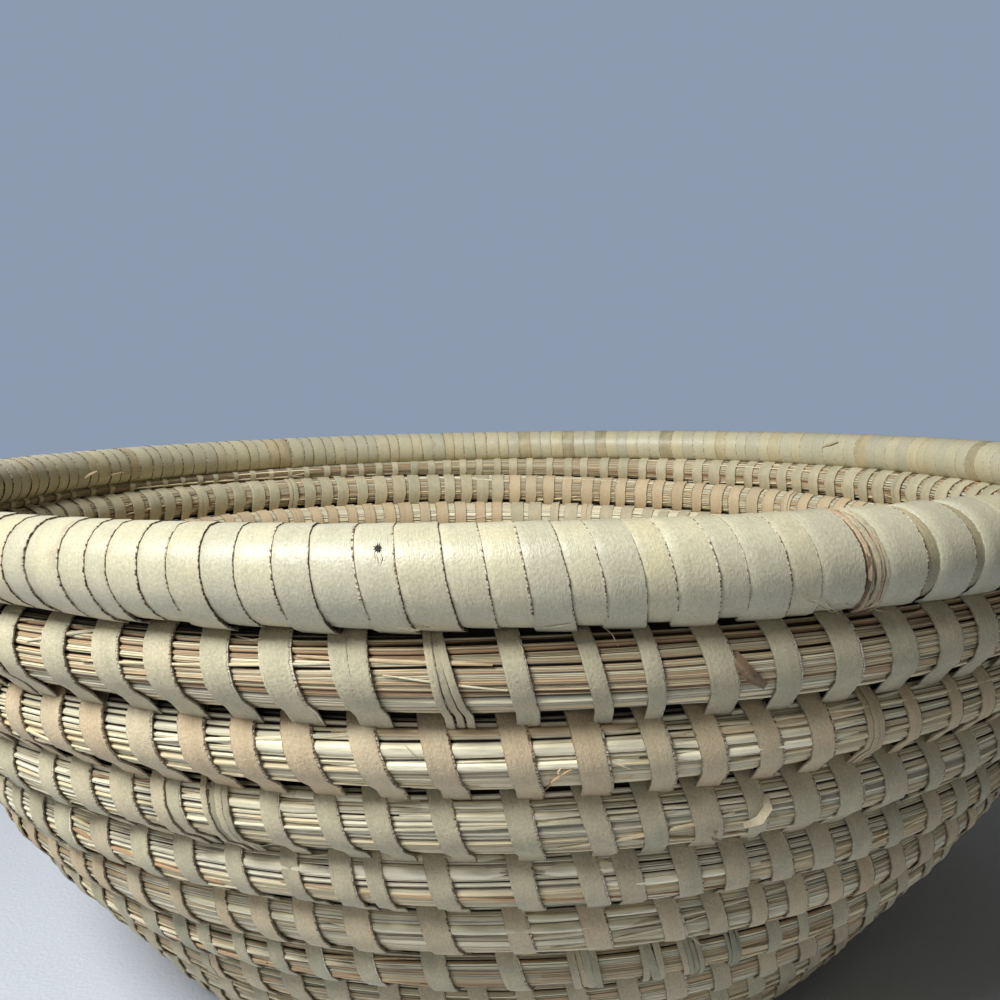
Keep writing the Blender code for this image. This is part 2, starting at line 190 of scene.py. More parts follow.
@dataclass(frozen=True)
class Value:
    """A number that flows through a node tree. Arithmetic on it adds Math nodes."""

    maker: "TreeMaker"
    socket: NodeSocket

    def __add__(self, other: "Value | float") -> "Value":
        """Sum."""
        return self.maker.math("ADD", self, other)

    def __sub__(self, other: "Value | float") -> "Value":
        """Difference."""
        return self.maker.math("SUBTRACT", self, other)

    def __mul__(self, other: "Value | float") -> "Value":
        """Product."""
        return self.maker.math("MULTIPLY", self, other)

    def __truediv__(self, other: "Value | float") -> "Value":
        """Quotient."""
        return self.maker.math("DIVIDE", self, other)

    def __rsub__(self, other: float) -> "Value":
        """Difference, from a plain number."""
        return self.maker.math("SUBTRACT", other, self)

    def __rtruediv__(self, other: float) -> "Value":
        """Quotient, of a plain number."""
        return self.maker.math("DIVIDE", other, self)

    __radd__ = __add__
    __rmul__ = __mul__


@dataclass(frozen=True)
class Arrow:
    """A vector that flows through a node tree. Arithmetic on it adds Vector Math nodes."""

    maker: "TreeMaker"
    socket: NodeSocket

    def __add__(self, other: "Arrow") -> "Arrow":
        """Sum of two vectors."""
        return self.maker.vector("ShaderNodeVectorMath", {"operation": "ADD"}, {0: self, 1: other})

    def __mul__(self, share: Value | float) -> "Arrow":
        """The vector made this many times as long."""
        return self.maker.vector("ShaderNodeVectorMath", {"operation": "SCALE"}, {0: self, "Scale": share})

    def parts(self) -> tuple[Value, Value, Value]:
        """The three numbers of the vector."""
        made = self.maker.node("ShaderNodeSeparateXYZ", inputs={0: self})
        return tuple(Value(self.maker, socket) for socket in made.outputs)


class TreeMaker:
    """Adds nodes to one shader or geometry tree and links them."""

    def __init__(self, tree: NodeTree) -> None:
        """Keeps the tree that the nodes go into."""
        self.tree = tree

    def feed(self, socket: NodeSocket, value: Any) -> None:
        """Links a value to a socket, or types a plain one into it.

        Args:
            socket: The input that takes the value.
            value: A Value, an Arrow, an output socket or a plain value.
        """
        if isinstance(value, (Value, Arrow)):
            value = value.socket
        if isinstance(value, NodeSocket):
            self.tree.links.new(value, socket)
        else:
            socket.default_value = value

    def node(self, kind: str, settings: Options | None = None, inputs: Options | None = None) -> Node:
        """Adds one node.

        Args:
            kind: The node's type.
            settings: Its own settings, which are set first; "stops" are those of a colour ramp.
            inputs: Values or links, by the name or the number of the socket that takes them.

        Returns:
            The new node.
        """
        made = self.tree.nodes.new(kind)
        for name, value in (settings or {}).items():
            if name == "stops":
                self._set_stops(made.color_ramp, value)
            else:
                setattr(made, name, value)
        for key, value in (inputs or {}).items():
            if isinstance(key, str):
                key = next(at for at, s in enumerate(made.inputs) if s.enabled and s.name == key)
            self.feed(made.inputs[key], value)
        return made

    @staticmethod
    def _set_stops(ramp: ColorRamp, stops: Stops) -> None:
        """Gives a colour ramp its stops.

        Args:
            ramp: The ramp.
            stops: Its places and colours, in order.
        """
        while len(ramp.elements) < len(stops):
            ramp.elements.new(1)
        for element, (place, color) in zip(ramp.elements, stops):
            element.position = place
            element.color = (*color, 1)

    def out(self, kind: str, settings: Options | None = None, inputs: Options | None = None) -> Value:
        """Adds one node and gives the first output that is in use, as a number."""
        made = self.node(kind, settings, inputs)
        return Value(self, next(socket for socket in made.outputs if socket.enabled))

    def vector(self, kind: str, settings: Options | None = None, inputs: Options | None = None) -> Arrow:
        """Adds one node and gives the first output that is in use, as a vector."""
        return Arrow(self, self.out(kind, settings, inputs).socket)

    def read(self, name: str) -> Value:
        """An attribute of the surface as a number."""
        return Value(self, self.node("ShaderNodeAttribute", {"attribute_name": name}).outputs["Fac"])

    def place(self) -> Arrow:
        """The place on the surface in object coordinates."""
        return Arrow(self, self.node("ShaderNodeTexCoord").outputs["Object"])

    def chance(self, number: Value) -> Value:
        """A number from 0 to 1 without any pattern, the same for the same number."""
        return self.out("ShaderNodeTexWhiteNoise", {"noise_dimensions": "1D"}, {"W": number})

    def math(self, operation: str, first: Value | float, second: Value | float = 0.0) -> Value:
        """A Math node on one or two numbers."""
        return self.out("ShaderNodeMath", {"operation": operation}, {0: first, 1: second})

    def compose(self, x: Value | float, y: Value | float, z: Value | float) -> Arrow:
        """A vector made of three numbers."""
        return self.vector("ShaderNodeCombineXYZ", inputs={"X": x, "Y": y, "Z": z})

    def between(self, value: Value, low: float, high: float) -> Value:
        """0 below low, 1 above high and a smooth step between them."""
        limits = {"Value": value, "From Min": low, "From Max": high}
        return self.out("ShaderNodeMapRange", {"interpolation_type": "SMOOTHSTEP"}, limits)

    def noise(self, place: Arrow, scale: float = 1.0, detail: float = 2.0) -> Value:
        """Smooth noise about 0.5 at a place."""
        return self.out("ShaderNodeTexNoise", inputs={"Vector": place, "Scale": scale, "Detail": detail})

    def colors(self, place: Value, stops: Stops) -> Arrow:
        """The colour of a row of stops at a place from 0 to 1."""
        return self.vector("ShaderNodeValToRGB", {"stops": stops}, {"Fac": place})

    def mixed(self, share: Value | float, under: Arrow | Color, over: Arrow | Color) -> Arrow:
        """One colour laid over another by a share from 0 to 1."""
        inputs = {"Factor": share, "A": self.opaque(under), "B": self.opaque(over)}
        return Arrow(self, self.node("ShaderNodeMix", {"data_type": "RGBA"}, inputs).outputs[2])

    @staticmethod
    def opaque(color: Arrow | Color) -> Any:
        """The colour with full alpha, where it is plain numbers."""
        return color if isinstance(color, Arrow) else (*color, 1.0)

    def surface(self, color: Arrow, roughness: Value, height: Value, relief: float) -> None:
        """Ends a material with a Principled shader.

        Args:
            color: Base colour.
            roughness: Roughness.
            height: Relief from 0 to about 1.
            relief: How high the relief stands at 1, in metres.
        """
        bump = self.node("ShaderNodeBump", None, {"Distance": relief, "Height": height})
        inputs = {"Base Color": color, "Roughness": roughness, "Normal": bump.outputs[0]}
        shader = self.node("ShaderNodeBsdfPrincipled", None, inputs)
        self.feed(self.node("ShaderNodeOutputMaterial").inputs["Surface"], shader.outputs[0])


class GeometryTree(TreeMaker):
    """A Geometry Nodes tree with named inputs, which is applied to an object and removed."""

    def __init__(self, name: str) -> None:
        """Makes the empty tree with its geometry sockets.

        Args:
            name: The tree's name.
        """
        super().__init__(bpy.data.node_groups.new(name, "GeometryNodeTree"))
        self.names: dict[str, str] = {}
        for side in ("INPUT", "OUTPUT"):
            self.tree.interface.new_socket("Geometry", in_out=side, socket_type="NodeSocketGeometry")
        self.entry = self.tree.nodes.new("NodeGroupInput")

    @property
    def geometry(self) -> NodeSocket:
        """What the modifier's object passes in."""
        return self.entry.outputs["Geometry"]

    def takes(self, **kinds: str) -> list[Value]:
        """Adds named inputs.

        Args:
            kinds: What each input holds, such as Float, Int, Object or Material, by its name.

        Returns:
            The inputs as numbers; an object or a material is read from its socket.
        """
        for name, kind in kinds.items():
            made = self.tree.interface.new_socket(name, in_out="INPUT", socket_type="NodeSocket" + kind)
            self.names[name] = made.identifier
        return [Value(self, self.entry.outputs[name]) for name in kinds]

    def shape(self, kind: str, inputs: Options, **settings: str) -> NodeSocket:
        """Adds a node of Geometry Nodes and gives its first output."""
        return self.node("GeometryNode" + kind, settings, inputs).outputs[0]

    def attribute(self, name: str, kind: str = "FLOAT") -> NodeSocket:
        """A named attribute of the geometry that flows by."""
        return self.shape("InputNamedAttribute", {"Name": name}, data_type=kind)

    def number(self, name: str) -> Value:
        """A named attribute as a number."""
        return Value(self, self.attribute(name))

    def arrow(self, name: str) -> Arrow:
        """A named attribute as a vector."""
        return Arrow(self, self.attribute(name, "FLOAT_VECTOR"))

    def store(self, geometry: NodeSocket, values: dict[str, Value], domain: str = "POINT") -> NodeSocket:
        """Keeps numbers on the geometry.

        Args:
            geometry: What they are kept on.
            values: The numbers by their names.
            domain: What carries them, POINT or FACE.

        Returns:
            The geometry with the numbers.
        """
        for name, value in values.items():
            inputs = {"Geometry": geometry, "Name": name, "Value": value}
            geometry = self.shape("StoreNamedAttribute", inputs, data_type="FLOAT", domain=domain)
        return geometry

    def bent(self, start: Arrow, out: Value, up: Value, read: Callable[..., NodeSocket]) -> Arrow:
        """Moves a point outward and upward from a seat, bent with the side view of the bowl.

        Args:
            start: The point that is moved.
            out: How far outward.
            up: How far upward.
            read: Gives an attribute of the seat by its name and kind.

        Returns:
            The point.
        """
        bend = Value(self, read("bend"))
        outward, upward = (Arrow(self, read(name, "FLOAT_VECTOR")) for name in ("outward", "upward"))
        return start + upward * (up * (1.0 + bend * out)) + outward * (out - bend * up * up / 2.0)

    def moved(self, geometry: NodeSocket, point: Arrow, lowest: Value) -> NodeSocket:
        """Moves the geometry's points, and lifts what lies too low: the basket is worn flat underneath.

        Args:
            geometry: What is moved.
            point: Where each point goes.
            lowest: The least height.

        Returns:
            The moved geometry.
        """
        x, y, z = point.parts()
        lifted = self.compose(x, y, self.math("MAXIMUM", z, lowest))
        return self.shape("SetPosition", {"Geometry": geometry, "Position": lifted})

    def random(self, low: float, high: float, number: Value, seed: Value) -> Value:
        """A random number that depends only on another number and the seed."""
        inputs = {"Min": low, "Max": high, "ID": number, "Seed": seed}
        return self.out("FunctionNodeRandomValue", {"data_type": "FLOAT"}, inputs)

    def end(self, geometry: NodeSocket, material: Value) -> None:
        """Ends the tree with Realize Instances and Set Material.

        Args:
            geometry: What the tree has made.
            material: The input that holds the material.
        """
        solid = self.shape("RealizeInstances", {"Geometry": geometry})
        dressed = self.shape("SetMaterial", {"Geometry": solid, "Material": material})
        self.tree.links.new(dressed, self.tree.nodes.new("NodeGroupOutput").inputs[0])

    def apply(self, obj: Object, values: dict[str, Any]) -> Object:
        """Runs the tree on an object and leaves the result as its plain mesh.

        Args:
            obj: The object whose mesh goes into the tree.
            values: What its named inputs hold.

        Returns:
            The same object.
        """
        modifier = obj.modifiers.new("shape", "NODES")
        modifier.node_group = self.tree
        for name, value in values.items():
            modifier[self.names[name]] = value
        evaluated = obj.evaluated_get(bpy.context.evaluated_depsgraph_get())
        result = bpy.data.meshes.new_from_object(evaluated)
        obj.modifiers.remove(modifier)
        obj.data = result
        return obj


def show(name: str, mesh: Mesh) -> Object:
    """Puts a mesh into the scene.

    Args:
        name: The object's name.
        mesh: Its mesh, in its place.

    Returns:
        The object, at the origin.
    """
    obj = bpy.data.objects.new(name, mesh)
    bpy.context.scene.collection.objects.link(obj)
    return obj


def as_mesh(maker: BMesh, name: str, material: Material | None = None) -> Mesh:
    """Turns an edited mesh into a plain one.

    Args:
        maker: The edited mesh, which is freed.
        name: The name of the plain one.
        material: Its material, if it gets one here.

    Returns:
        The plain mesh.
    """
    mesh = bpy.data.meshes.new(name)
    maker.to_mesh(mesh)
    maker.free()
    if material:
        mesh.materials.append(material)
    return mesh


def add_quads(maker: BMesh, ring: Sequence[BMVert], following: Sequence[BMVert]) -> list[BMFace]:
    """Joins two rings of points all round.

    Args:
        maker: The mesh that takes the faces.
        ring: The first ring.
        following: The next ring, with as many points.

    Returns:
        The faces, each from one side of the ring.
    """
    turned = [*ring[1:], ring[0]], [*following[1:], following[0]]
    return [maker.faces.new(corners) for corners in zip(ring, following, turned[1], turned[0])]


def new_material(name: str) -> tuple[Material, TreeMaker]:
    """Makes an empty material.

    Args:
        name: Its name.

    Returns:
        The material, and the maker of its nodes.
    """
    made = bpy.data.materials.new(name)
    made.use_nodes = True
    made.node_tree.nodes.clear()
    return made, TreeMaker(made.node_tree)


def write_attributes(mesh: Mesh, numbers: dict[str, Sequence[float]], seats: Sequence["Seat"] = ()) -> None:
    """Keeps numbers on the points of a mesh, each under its name.

    Args:
        mesh: The mesh.
        numbers: Values of all its points, by name.
        seats: The seat of each point, where it has one, whose place and directions are kept too.
    """
    if seats:
        numbers["bend"] = [seat.bend for seat in seats]
        vectors = {"seat": "point", "outward": "outward", "upward": "upward", "forward": "forward"}
        for name, part in vectors.items():
            flat = [number for seat in seats for number in getattr(seat, part)]
            mesh.attributes.new(name, "FLOAT_VECTOR", "POINT").data.foreach_set("vector", flat)
    for name, values in numbers.items():
        mesh.attributes.new(name, "FLOAT", "POINT").data.foreach_set("value", values)


def finish_piece(obj: Object, slot: Slot, nodes: Sequence[str] = ()) -> Object:
    """Fixes a finished piece to the basket.

    Args:
        obj: The piece, whose place is in its mesh.
        slot: The material slot of the record; not used.
        nodes: The solids that it stands for.

    Returns:
        The same piece.
    """
    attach(obj, BODY)
    if nodes:
        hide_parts(*nodes)
    LOG.info("%s: %d faces", obj.name, len(obj.data.polygons))
    return obj


@dataclass(frozen=True)
class Seat:
    """A place on the winding, with the size of the bundle there."""

    turn: float
    run: float
    point: Vector
    outward: Vector
    upward: Vector
    forward: Vector
    half_depth: float
    half_height: float
    bend: float

    def skin(self, angle: float, lift: float = 0.0) -> Vector:
        """Point on the bundle's skin, bent with the side view of the bowl.

        Args:
            angle: From outward towards upward.
            lift: How far the point stands off the skin.

        Returns:
            The point.
        """
        out = (self.half_depth + lift) * cos(angle)
        up = (self.half_height + lift) * sin(angle)
        out_bent = out - self.bend * up * up / 2
        up_bent = up * (1 + self.bend * out)
        return self.point + self.outward * out_bent + self.upward * up_bent


@dataclass(frozen=True)
class BowlShape:
    """Side view of the bowl and the winding that fills it, as the solids have them."""

    height: float
    reach: float
    corner_radius: float = 0.018
    wall_lean: float = radians(36)
    shoulder_radius: float = 0.200
    rim_lean: float = radians(13)
    row_pitch: float = 0.013
    row_gap: float = 0.0005
    bundle_depth: float = 0.0136
    wear_share: float = 0.1
    climb_swing_share: float = 0.9
    last_turn_share: float = 0.9
    knot_radius: float = 0.0065
    end_width: float = 0.0016
    tuck: float = 0.0015
    tuck_turns: float = 0.25
    low_tuck_share: float = 0.4
    search_step: float = 0.01
    rim_thickness: float = 0.014
    rim_sides: int = 8

    @classmethod
    def from_frame(cls) -> "BowlShape":
        """The bowl whose height and reach are those of the solid rim."""
        low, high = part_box("rim_binding")
        return cls(height=high.z, reach=(high.x - low.x) / 2)

    @cached_property
    def rim_edge(self) -> float:
        """How far the many-sided rim reaches from its own middle, straight up and straight out."""
        half_side = pi / self.rim_sides
        return self.rim_thickness / 2 / cos(half_side) * cos(half_side - self.rim_lean)

    @cached_property
    def rim_radius(self) -> float:
        """From the axis to the middle of the rim."""
        return self.reach - self.rim_edge

    @cached_property
    def rim_height(self) -> float:
        """From the table to the middle of the rim."""
        return self.height - self.rim_edge

    @cached_property
    def floor_height(self) -> float:
        """From the table to the middle of the floor bundle."""
        return self.bundle_depth * (0.5 - self.wear_share)

    @cached_property
    def lengths(self) -> tuple[float, float, float, float]:
        """Lengths along the side view: floor, corner, straight wall and shoulder.

        Returns:
            The four lengths, which reach the rim's height and radius together.
        """
        drop = (self.rim_thickness + self.row_gap) / 2
        lean, top = self.wall_lean, self.rim_lean
        rise = self.rim_height - drop * cos(top) - self.floor_height
        rise -= self.corner_radius * (1 - sin(lean))
        rise -= self.shoulder_radius * (sin(lean) - sin(top))
        wall = rise / cos(lean)
        floor = self.rim_radius - drop * sin(top) - wall * sin(lean)
        floor -= self.corner_radius * cos(lean)
        floor -= self.shoulder_radius * (cos(top) - cos(lean))
        corner = self.corner_radius * (pi / 2 - lean)
        return floor, corner, wall, self.shoulder_radius * (lean - top)

    @cached_property
    def seam_distance(self) -> float:
        """Along the side view, from the axis to the seam under the rim."""
        return sum(self.lengths)

    def side_view(self, distance: float) -> tuple[float, float, float, float]:
        """The bowl's middle surface at a distance along it from the axis.

        Args:
            distance: Along the side view, from the axis.

        Returns:
            Radius, height, lean from upright, and bend.
        """
        floor, corner, wall, _ = self.lengths
        if distance <= floor:
            return distance, self.floor_height, pi / 2, 0.0
        distance -= floor
        if distance <= corner:
            lean = pi / 2 - distance / self.corner_radius
            rise = self.corner_radius * (1 - sin(lean))
            run = self.corner_radius * cos(lean)
            return floor + run, self.floor_height + rise, lean, 1 / self.corner_radius
        distance -= corner
        radius = floor + self.corner_radius * cos(self.wall_lean)
        height = self.floor_height + self.corner_radius * (1 - sin(self.wall_lean))
        straight = min(distance, wall)
        radius += straight * sin(self.wall_lean)
        height += straight * cos(self.wall_lean)
        if distance <= wall:
            return radius, height, self.wall_lean, 0.0
        lean = self.wall_lean - (distance - wall) / self.shoulder_radius
        radius += self.shoulder_radius * (cos(lean) - cos(self.wall_lean))
        height += self.shoulder_radius * (sin(self.wall_lean) - sin(lean))
        return radius, height, lean, 1 / self.shoulder_radius

    def seams(self, turn: float) -> tuple[float, float]:
        """Lower and upper seam of the bundle at a place on the winding, along the side view.

        Args:
            turn: Place on the winding.

        Returns:
            Distances from the axis.
        """
        swing = self.climb_swing_share * sin(tau * turn) / tau
        upper = self.seam_distance + self.row_pitch * (turn - swing)
        low = max(upper - self.row_pitch, self.knot_radius + self.row_gap / 2)
        return low, min(upper, self.seam_distance)

    @staticmethod
    def directions(turn: float, lean: float) -> tuple[Vector, Vector, Vector, Vector]:
        """Radial, outward, upward and forward directions at a place on the winding.

        Args:
            turn: Place on the winding.
            lean: Lean of the wall there, from upright.

        Returns:
            The four directions.
        """
        azimuth = tau * turn - pi / 2
        radial = Vector((cos(azimuth), sin(azimuth), 0))
        outward = cos(lean) * radial - sin(lean) * UP
        upward = sin(lean) * radial + cos(lean) * UP
        return radial, outward, upward, UP.cross(radial)

    def seat(self, turn: float, run: float = 0.0) -> Seat:
        """The bundle of the floor and wall at a place on the winding.

        Args:
            turn: Place on the winding.
            run: Length of bundle laid up to there.

        Returns:
            The seat.
        """
        low, high = self.seams(turn)
        tucked = self.tuck * min(1.0, max(0.0, turn / self.tuck_turns))
        low, high = low - tucked * self.low_tuck_share, high + tucked
        radius, height, lean, bend = self.side_view((low + high) / 2)
        radial, *directions = self.directions(turn, lean)
        width_share = (high - low) / self.row_pitch
        half_depth = self.bundle_depth / 2 * (width_share if turn < 0 else sqrt(width_share))
        point = radial * radius + UP * height
        return Seat(turn, run, point, *directions, half_depth, (high - low) / 2, bend)

    def rim_seat(self, turn: float, half_depth: float, run: float = 0.0) -> Seat:
        """The rim bundle at a place on it.

        Args:
            turn: Place round the rim.
            half_depth: Half the thickness of what is laid there.
            run: Length of bundle laid up to there.

        Returns:
            The seat.
        """
        radial, *directions = self.directions(turn, self.rim_lean)
        point = radial * self.rim_radius + UP * self.rim_height
        return Seat(turn, run, point, *directions, half_depth, half_depth, 0.0)

    @cached_property
    def first_turn(self) -> float:
        """Where the bundle leaves the knot.

        Returns:
            The turn at which the bundle is as wide as its thin end.
        """
        turn = -self.seam_distance / self.row_pitch - 1
        low, high = self.seams(turn)
        while high - low < self.end_width:
            turn += self.search_step
            low, high = self.seams(turn)
        return turn

    @cached_property
    def corner_turn(self) -> float:
        """Where the whole bundle has left the flat floor.

        Returns:
            The turn.
        """
        turn = self.first_turn
        while self.seams(turn)[0] < self.lengths[0]:
            turn += self.search_step
        return turn

    def walk(self, start: float, end: float, step: float, run: float = 0.0) -> list[Seat]:
        """Seats at even steps along the winding.

        Args:
            start: First turn.
            end: Last turn.
            step: Length of bundle between two seats.
            run: Length of bundle laid before the first seat.

        Returns:
            The seats in order.
        """
        seats = []
        turn = start
        while turn < end:
            seats.append(self.seat(turn, run))
            turn += step / (tau * hypot(*seats[-1].point.xy))
            run += step
        return seats


@dataclass(frozen=True)
class Viewpoint:
    """The camera of the photographed view."""

    place: tuple[float, float, float] = (0.0005, -0.2742, 0.1403)
    pitch: float = radians(-6.56)
    roll: float = radians(-1.01)
    yaw: float = radians(0.03)
    lens: float = 32.4
    sensor: float = 36.0
    nearest: float = 0.01
    seen_turn: float = 0.17
    halvings: int = 30

    @cached_property
    def matrix(self) -> Matrix:
        """Place and turn of the camera.

        Returns:
            The camera's matrix.
        """
        flat = cos(self.pitch)
        forward = Vector((sin(self.yaw) * flat, flat, sin(self.pitch)))
        level = forward.cross(UP).normalized()
        upright = level.cross(forward)
        right = cos(self.roll) * level + sin(self.roll) * upright
        above = cos(self.roll) * upright - sin(self.roll) * level
        turned = Matrix((right, above, -forward)).transposed().to_4x4()
        return Matrix.Translation(Vector(self.place)) @ turned

    def pixel_x(self, point: Vector) -> float:
        """Column of the photographed view in which a point shows."""
        seen = self.matrix.inverted() @ point
        return PIXELS / 2 + seen.x / -seen.z * self.lens / self.sensor * PIXELS

    def turn_at(self, column: float, outer: Callable[[float], Vector], row_turn: float = 0.0) -> float:
        """Turn near the front at which a row's outer skin shows in a column of the view.

        Args:
            column: Pixel column.
            outer: Gives the skin's point at a turn.
            row_turn: Whole turn of the row at the front.

        Returns:
            The turn.
        """
        low, high = row_turn - self.seen_turn, row_turn + self.seen_turn
        for _ in range(self.halvings):
            middle = (low + high) / 2
            if self.pixel_x(outer(middle)) < column:
                low = middle
            else:
                high = middle
        return (low + high) / 2

    def ray(self, column: float, row: float) -> tuple[Vector, Vector]:
        """The eye, and the direction in which it sees a pixel of the photographed view.

        Args:
            column: Pixel column.
            row: Pixel row.

        Returns:
            The eye and the direction.
        """
        scale = self.sensor / self.lens / PIXELS
        seen = Vector(((column - PIXELS / 2) * scale, (PIXELS / 2 - row) * scale, -1.0))
        return Vector(self.place), (self.matrix.to_3x3() @ seen).normalized()

    def make_camera(self) -> None:
        """Adds the camera to the scene."""
        data = bpy.data.cameras.new("camera")
        data.lens = self.lens
        data.sensor_width = self.sensor
        data.clip_start = self.nearest
        camera = bpy.data.objects.new("camera", data)
        camera.matrix_world = self.matrix
        bpy.context.scene.collection.objects.link(camera)
        bpy.context.scene.camera = camera


@dataclass(frozen=True)
class LeafFinish:
    """Dried palm leaf: fine fibres along the strip, mottled, with a ragged, dark and pale right edge, and
    painted shadow along that edge and on the side walls.
    """

    name: str
    tones: Stops
    edge_tones: Stops = (
        (0.0, (0.050, 0.031, 0.017)),
        (0.40, (0.090, 0.055, 0.030)),
        (0.50, (0.25, 0.155, 0.08)),
        (0.60, (0.56, 0.49, 0.35)),
        (1.0, (0.76, 0.72, 0.58)),
    )
    stain: Color = (0.33, 0.21, 0.12)
    roughness: float = 0.38
    edge_share: float = 0.05
    left_edge: float = 0.5
    # how strongly the painted shadow line along the right edge is darkened
    edge_shadow_line: float = 0.5
    edge_brown: float = 0.0
    # how much painted shade darkens the strip's side walls
    wall_shade_share: float = 0.0
    own_contrast: float = 0.09
    tone_scale: float = 0.8
    stain_cover: float = -0.05
    stain_strength: float = 0.4
    fibres_across: float = 55.0
    ticks_a_metre: float = 3200.0
    mottles_a_metre: float = 300.0
    blotches_a_metre: float = 75.0
    specks_a_metre: float = 2300.0
    fibre_contrast: float = 0.25
    mottle_contrast: float = 0.2
    wall_shade: float = 0.42
    relief: float = 0.0001

    def material(self) -> Material:
        """Builds the material.

        Returns:
            A material that reads the strip's UV map (across, and metres along it) and its tone attribute.
        """
        made, maker = new_material(self.name)
        place, tone = maker.place(), maker.read("tone")
        across, along, _ = maker.vector("ShaderNodeUVMap", {"uv_map": "UVMap"}).parts()
        own = maker.chance(tone * 913.0)

        def streaks(wide: float, long: float, shift: float, detail: float = 1.0) -> Value:
            """Noise with these scales across and along, different on every strip."""
            place_on_strip = maker.compose(across * wide, along * long, tone * 91.7 + shift)
            return maker.noise(place_on_strip, detail=detail)

        fibre = streaks(self.fibres_across, 150.0, 0.0, 2.0)
        felt = streaks(30.0, 1900.0, 1.0)
        band = streaks(3.0, 60.0, 5.0, 2.0)
        worn = streaks(0.5, 110.0, 9.0)
        ragged = streaks(2.0, self.ticks_a_metre * 0.6, 2.0)
        dash = streaks(1.5, self.ticks_a_metre, 4.0, 0.0)
        mottle = maker.noise(place, self.mottles_a_metre, 4.0)
        blotch = maker.noise(place, self.blotches_a_metre, 2.0)
        speck = maker.noise(place, self.specks_a_metre, 3.0)

        blend = tone + (band - 0.5) * 0.4 + (mottle - 0.5) * 0.3 + (blotch - 0.5) * 0.3
        shade = 1.0 + (own - 0.5) * self.own_contrast + (fibre - 0.5) * self.fibre_contrast
        shade = shade + (felt - 0.5) * 0.25 + (speck - 0.5) * 0.5 + (mottle - 0.5) * self.mottle_contrast
        leaf = maker.colors(blend * self.tone_scale, self.tones) * shade
        rise = across + (worn - 0.5) * 1.3 + (mottle - 0.5) * 0.9 + (own - 0.5) * 0.5
        brown = maker.between(rise, 1.05 - self.stain_cover, 1.45 - self.stain_cover)
        leaf = maker.mixed(brown * self.stain_strength, leaf, self.stain)

        # Ragged edges with pale and dark ticks, a painted shadow line along the right edge, and painted
        # shade on the strip's side walls
        soft = self.edge_share * 0.4
        width = (0.55 + own * 0.8) * self.edge_share
        reach = (ragged - 0.5) * self.edge_share * 1.6
        right = maker.between(across + reach + width, 1.0, 1.0 + soft)
        left = maker.between(reach * 0.6 - across + width * 0.5, 0.0, soft) * self.left_edge
        # Painted shadow: a dark line just inside the right edge, where the strip stands over its neighbour
        line = maker.between(across, 1.0 - soft, 1.0 - self.edge_share * 0.1)
        pale = dash + (worn - 0.5) * 0.6 + (own - 0.5) * 0.25 - (tone - 0.55) * self.edge_brown
        ticks = maker.colors(pale, self.edge_tones)
        # Painted shade on the strip's side walls
        wall = maker.between(maker.math("ABSOLUTE", across - 0.5), 0.487, 0.492) * self.wall_shade_share
        color = maker.mixed(left, maker.mixed(right, leaf, ticks), ticks)
        color = maker.mixed(line * self.edge_shadow_line, color, self.edge_tones[0][1])
        color = maker.mixed(wall, color, leaf * self.wall_shade)

        height = fibre * 0.4 + speck * 0.7 + felt * 0.4 + ragged * right * 2.0
        maker.surface(color, self.roughness + (fibre - 0.5) * 0.25 + right * 0.2, height, self.relief)
        return made


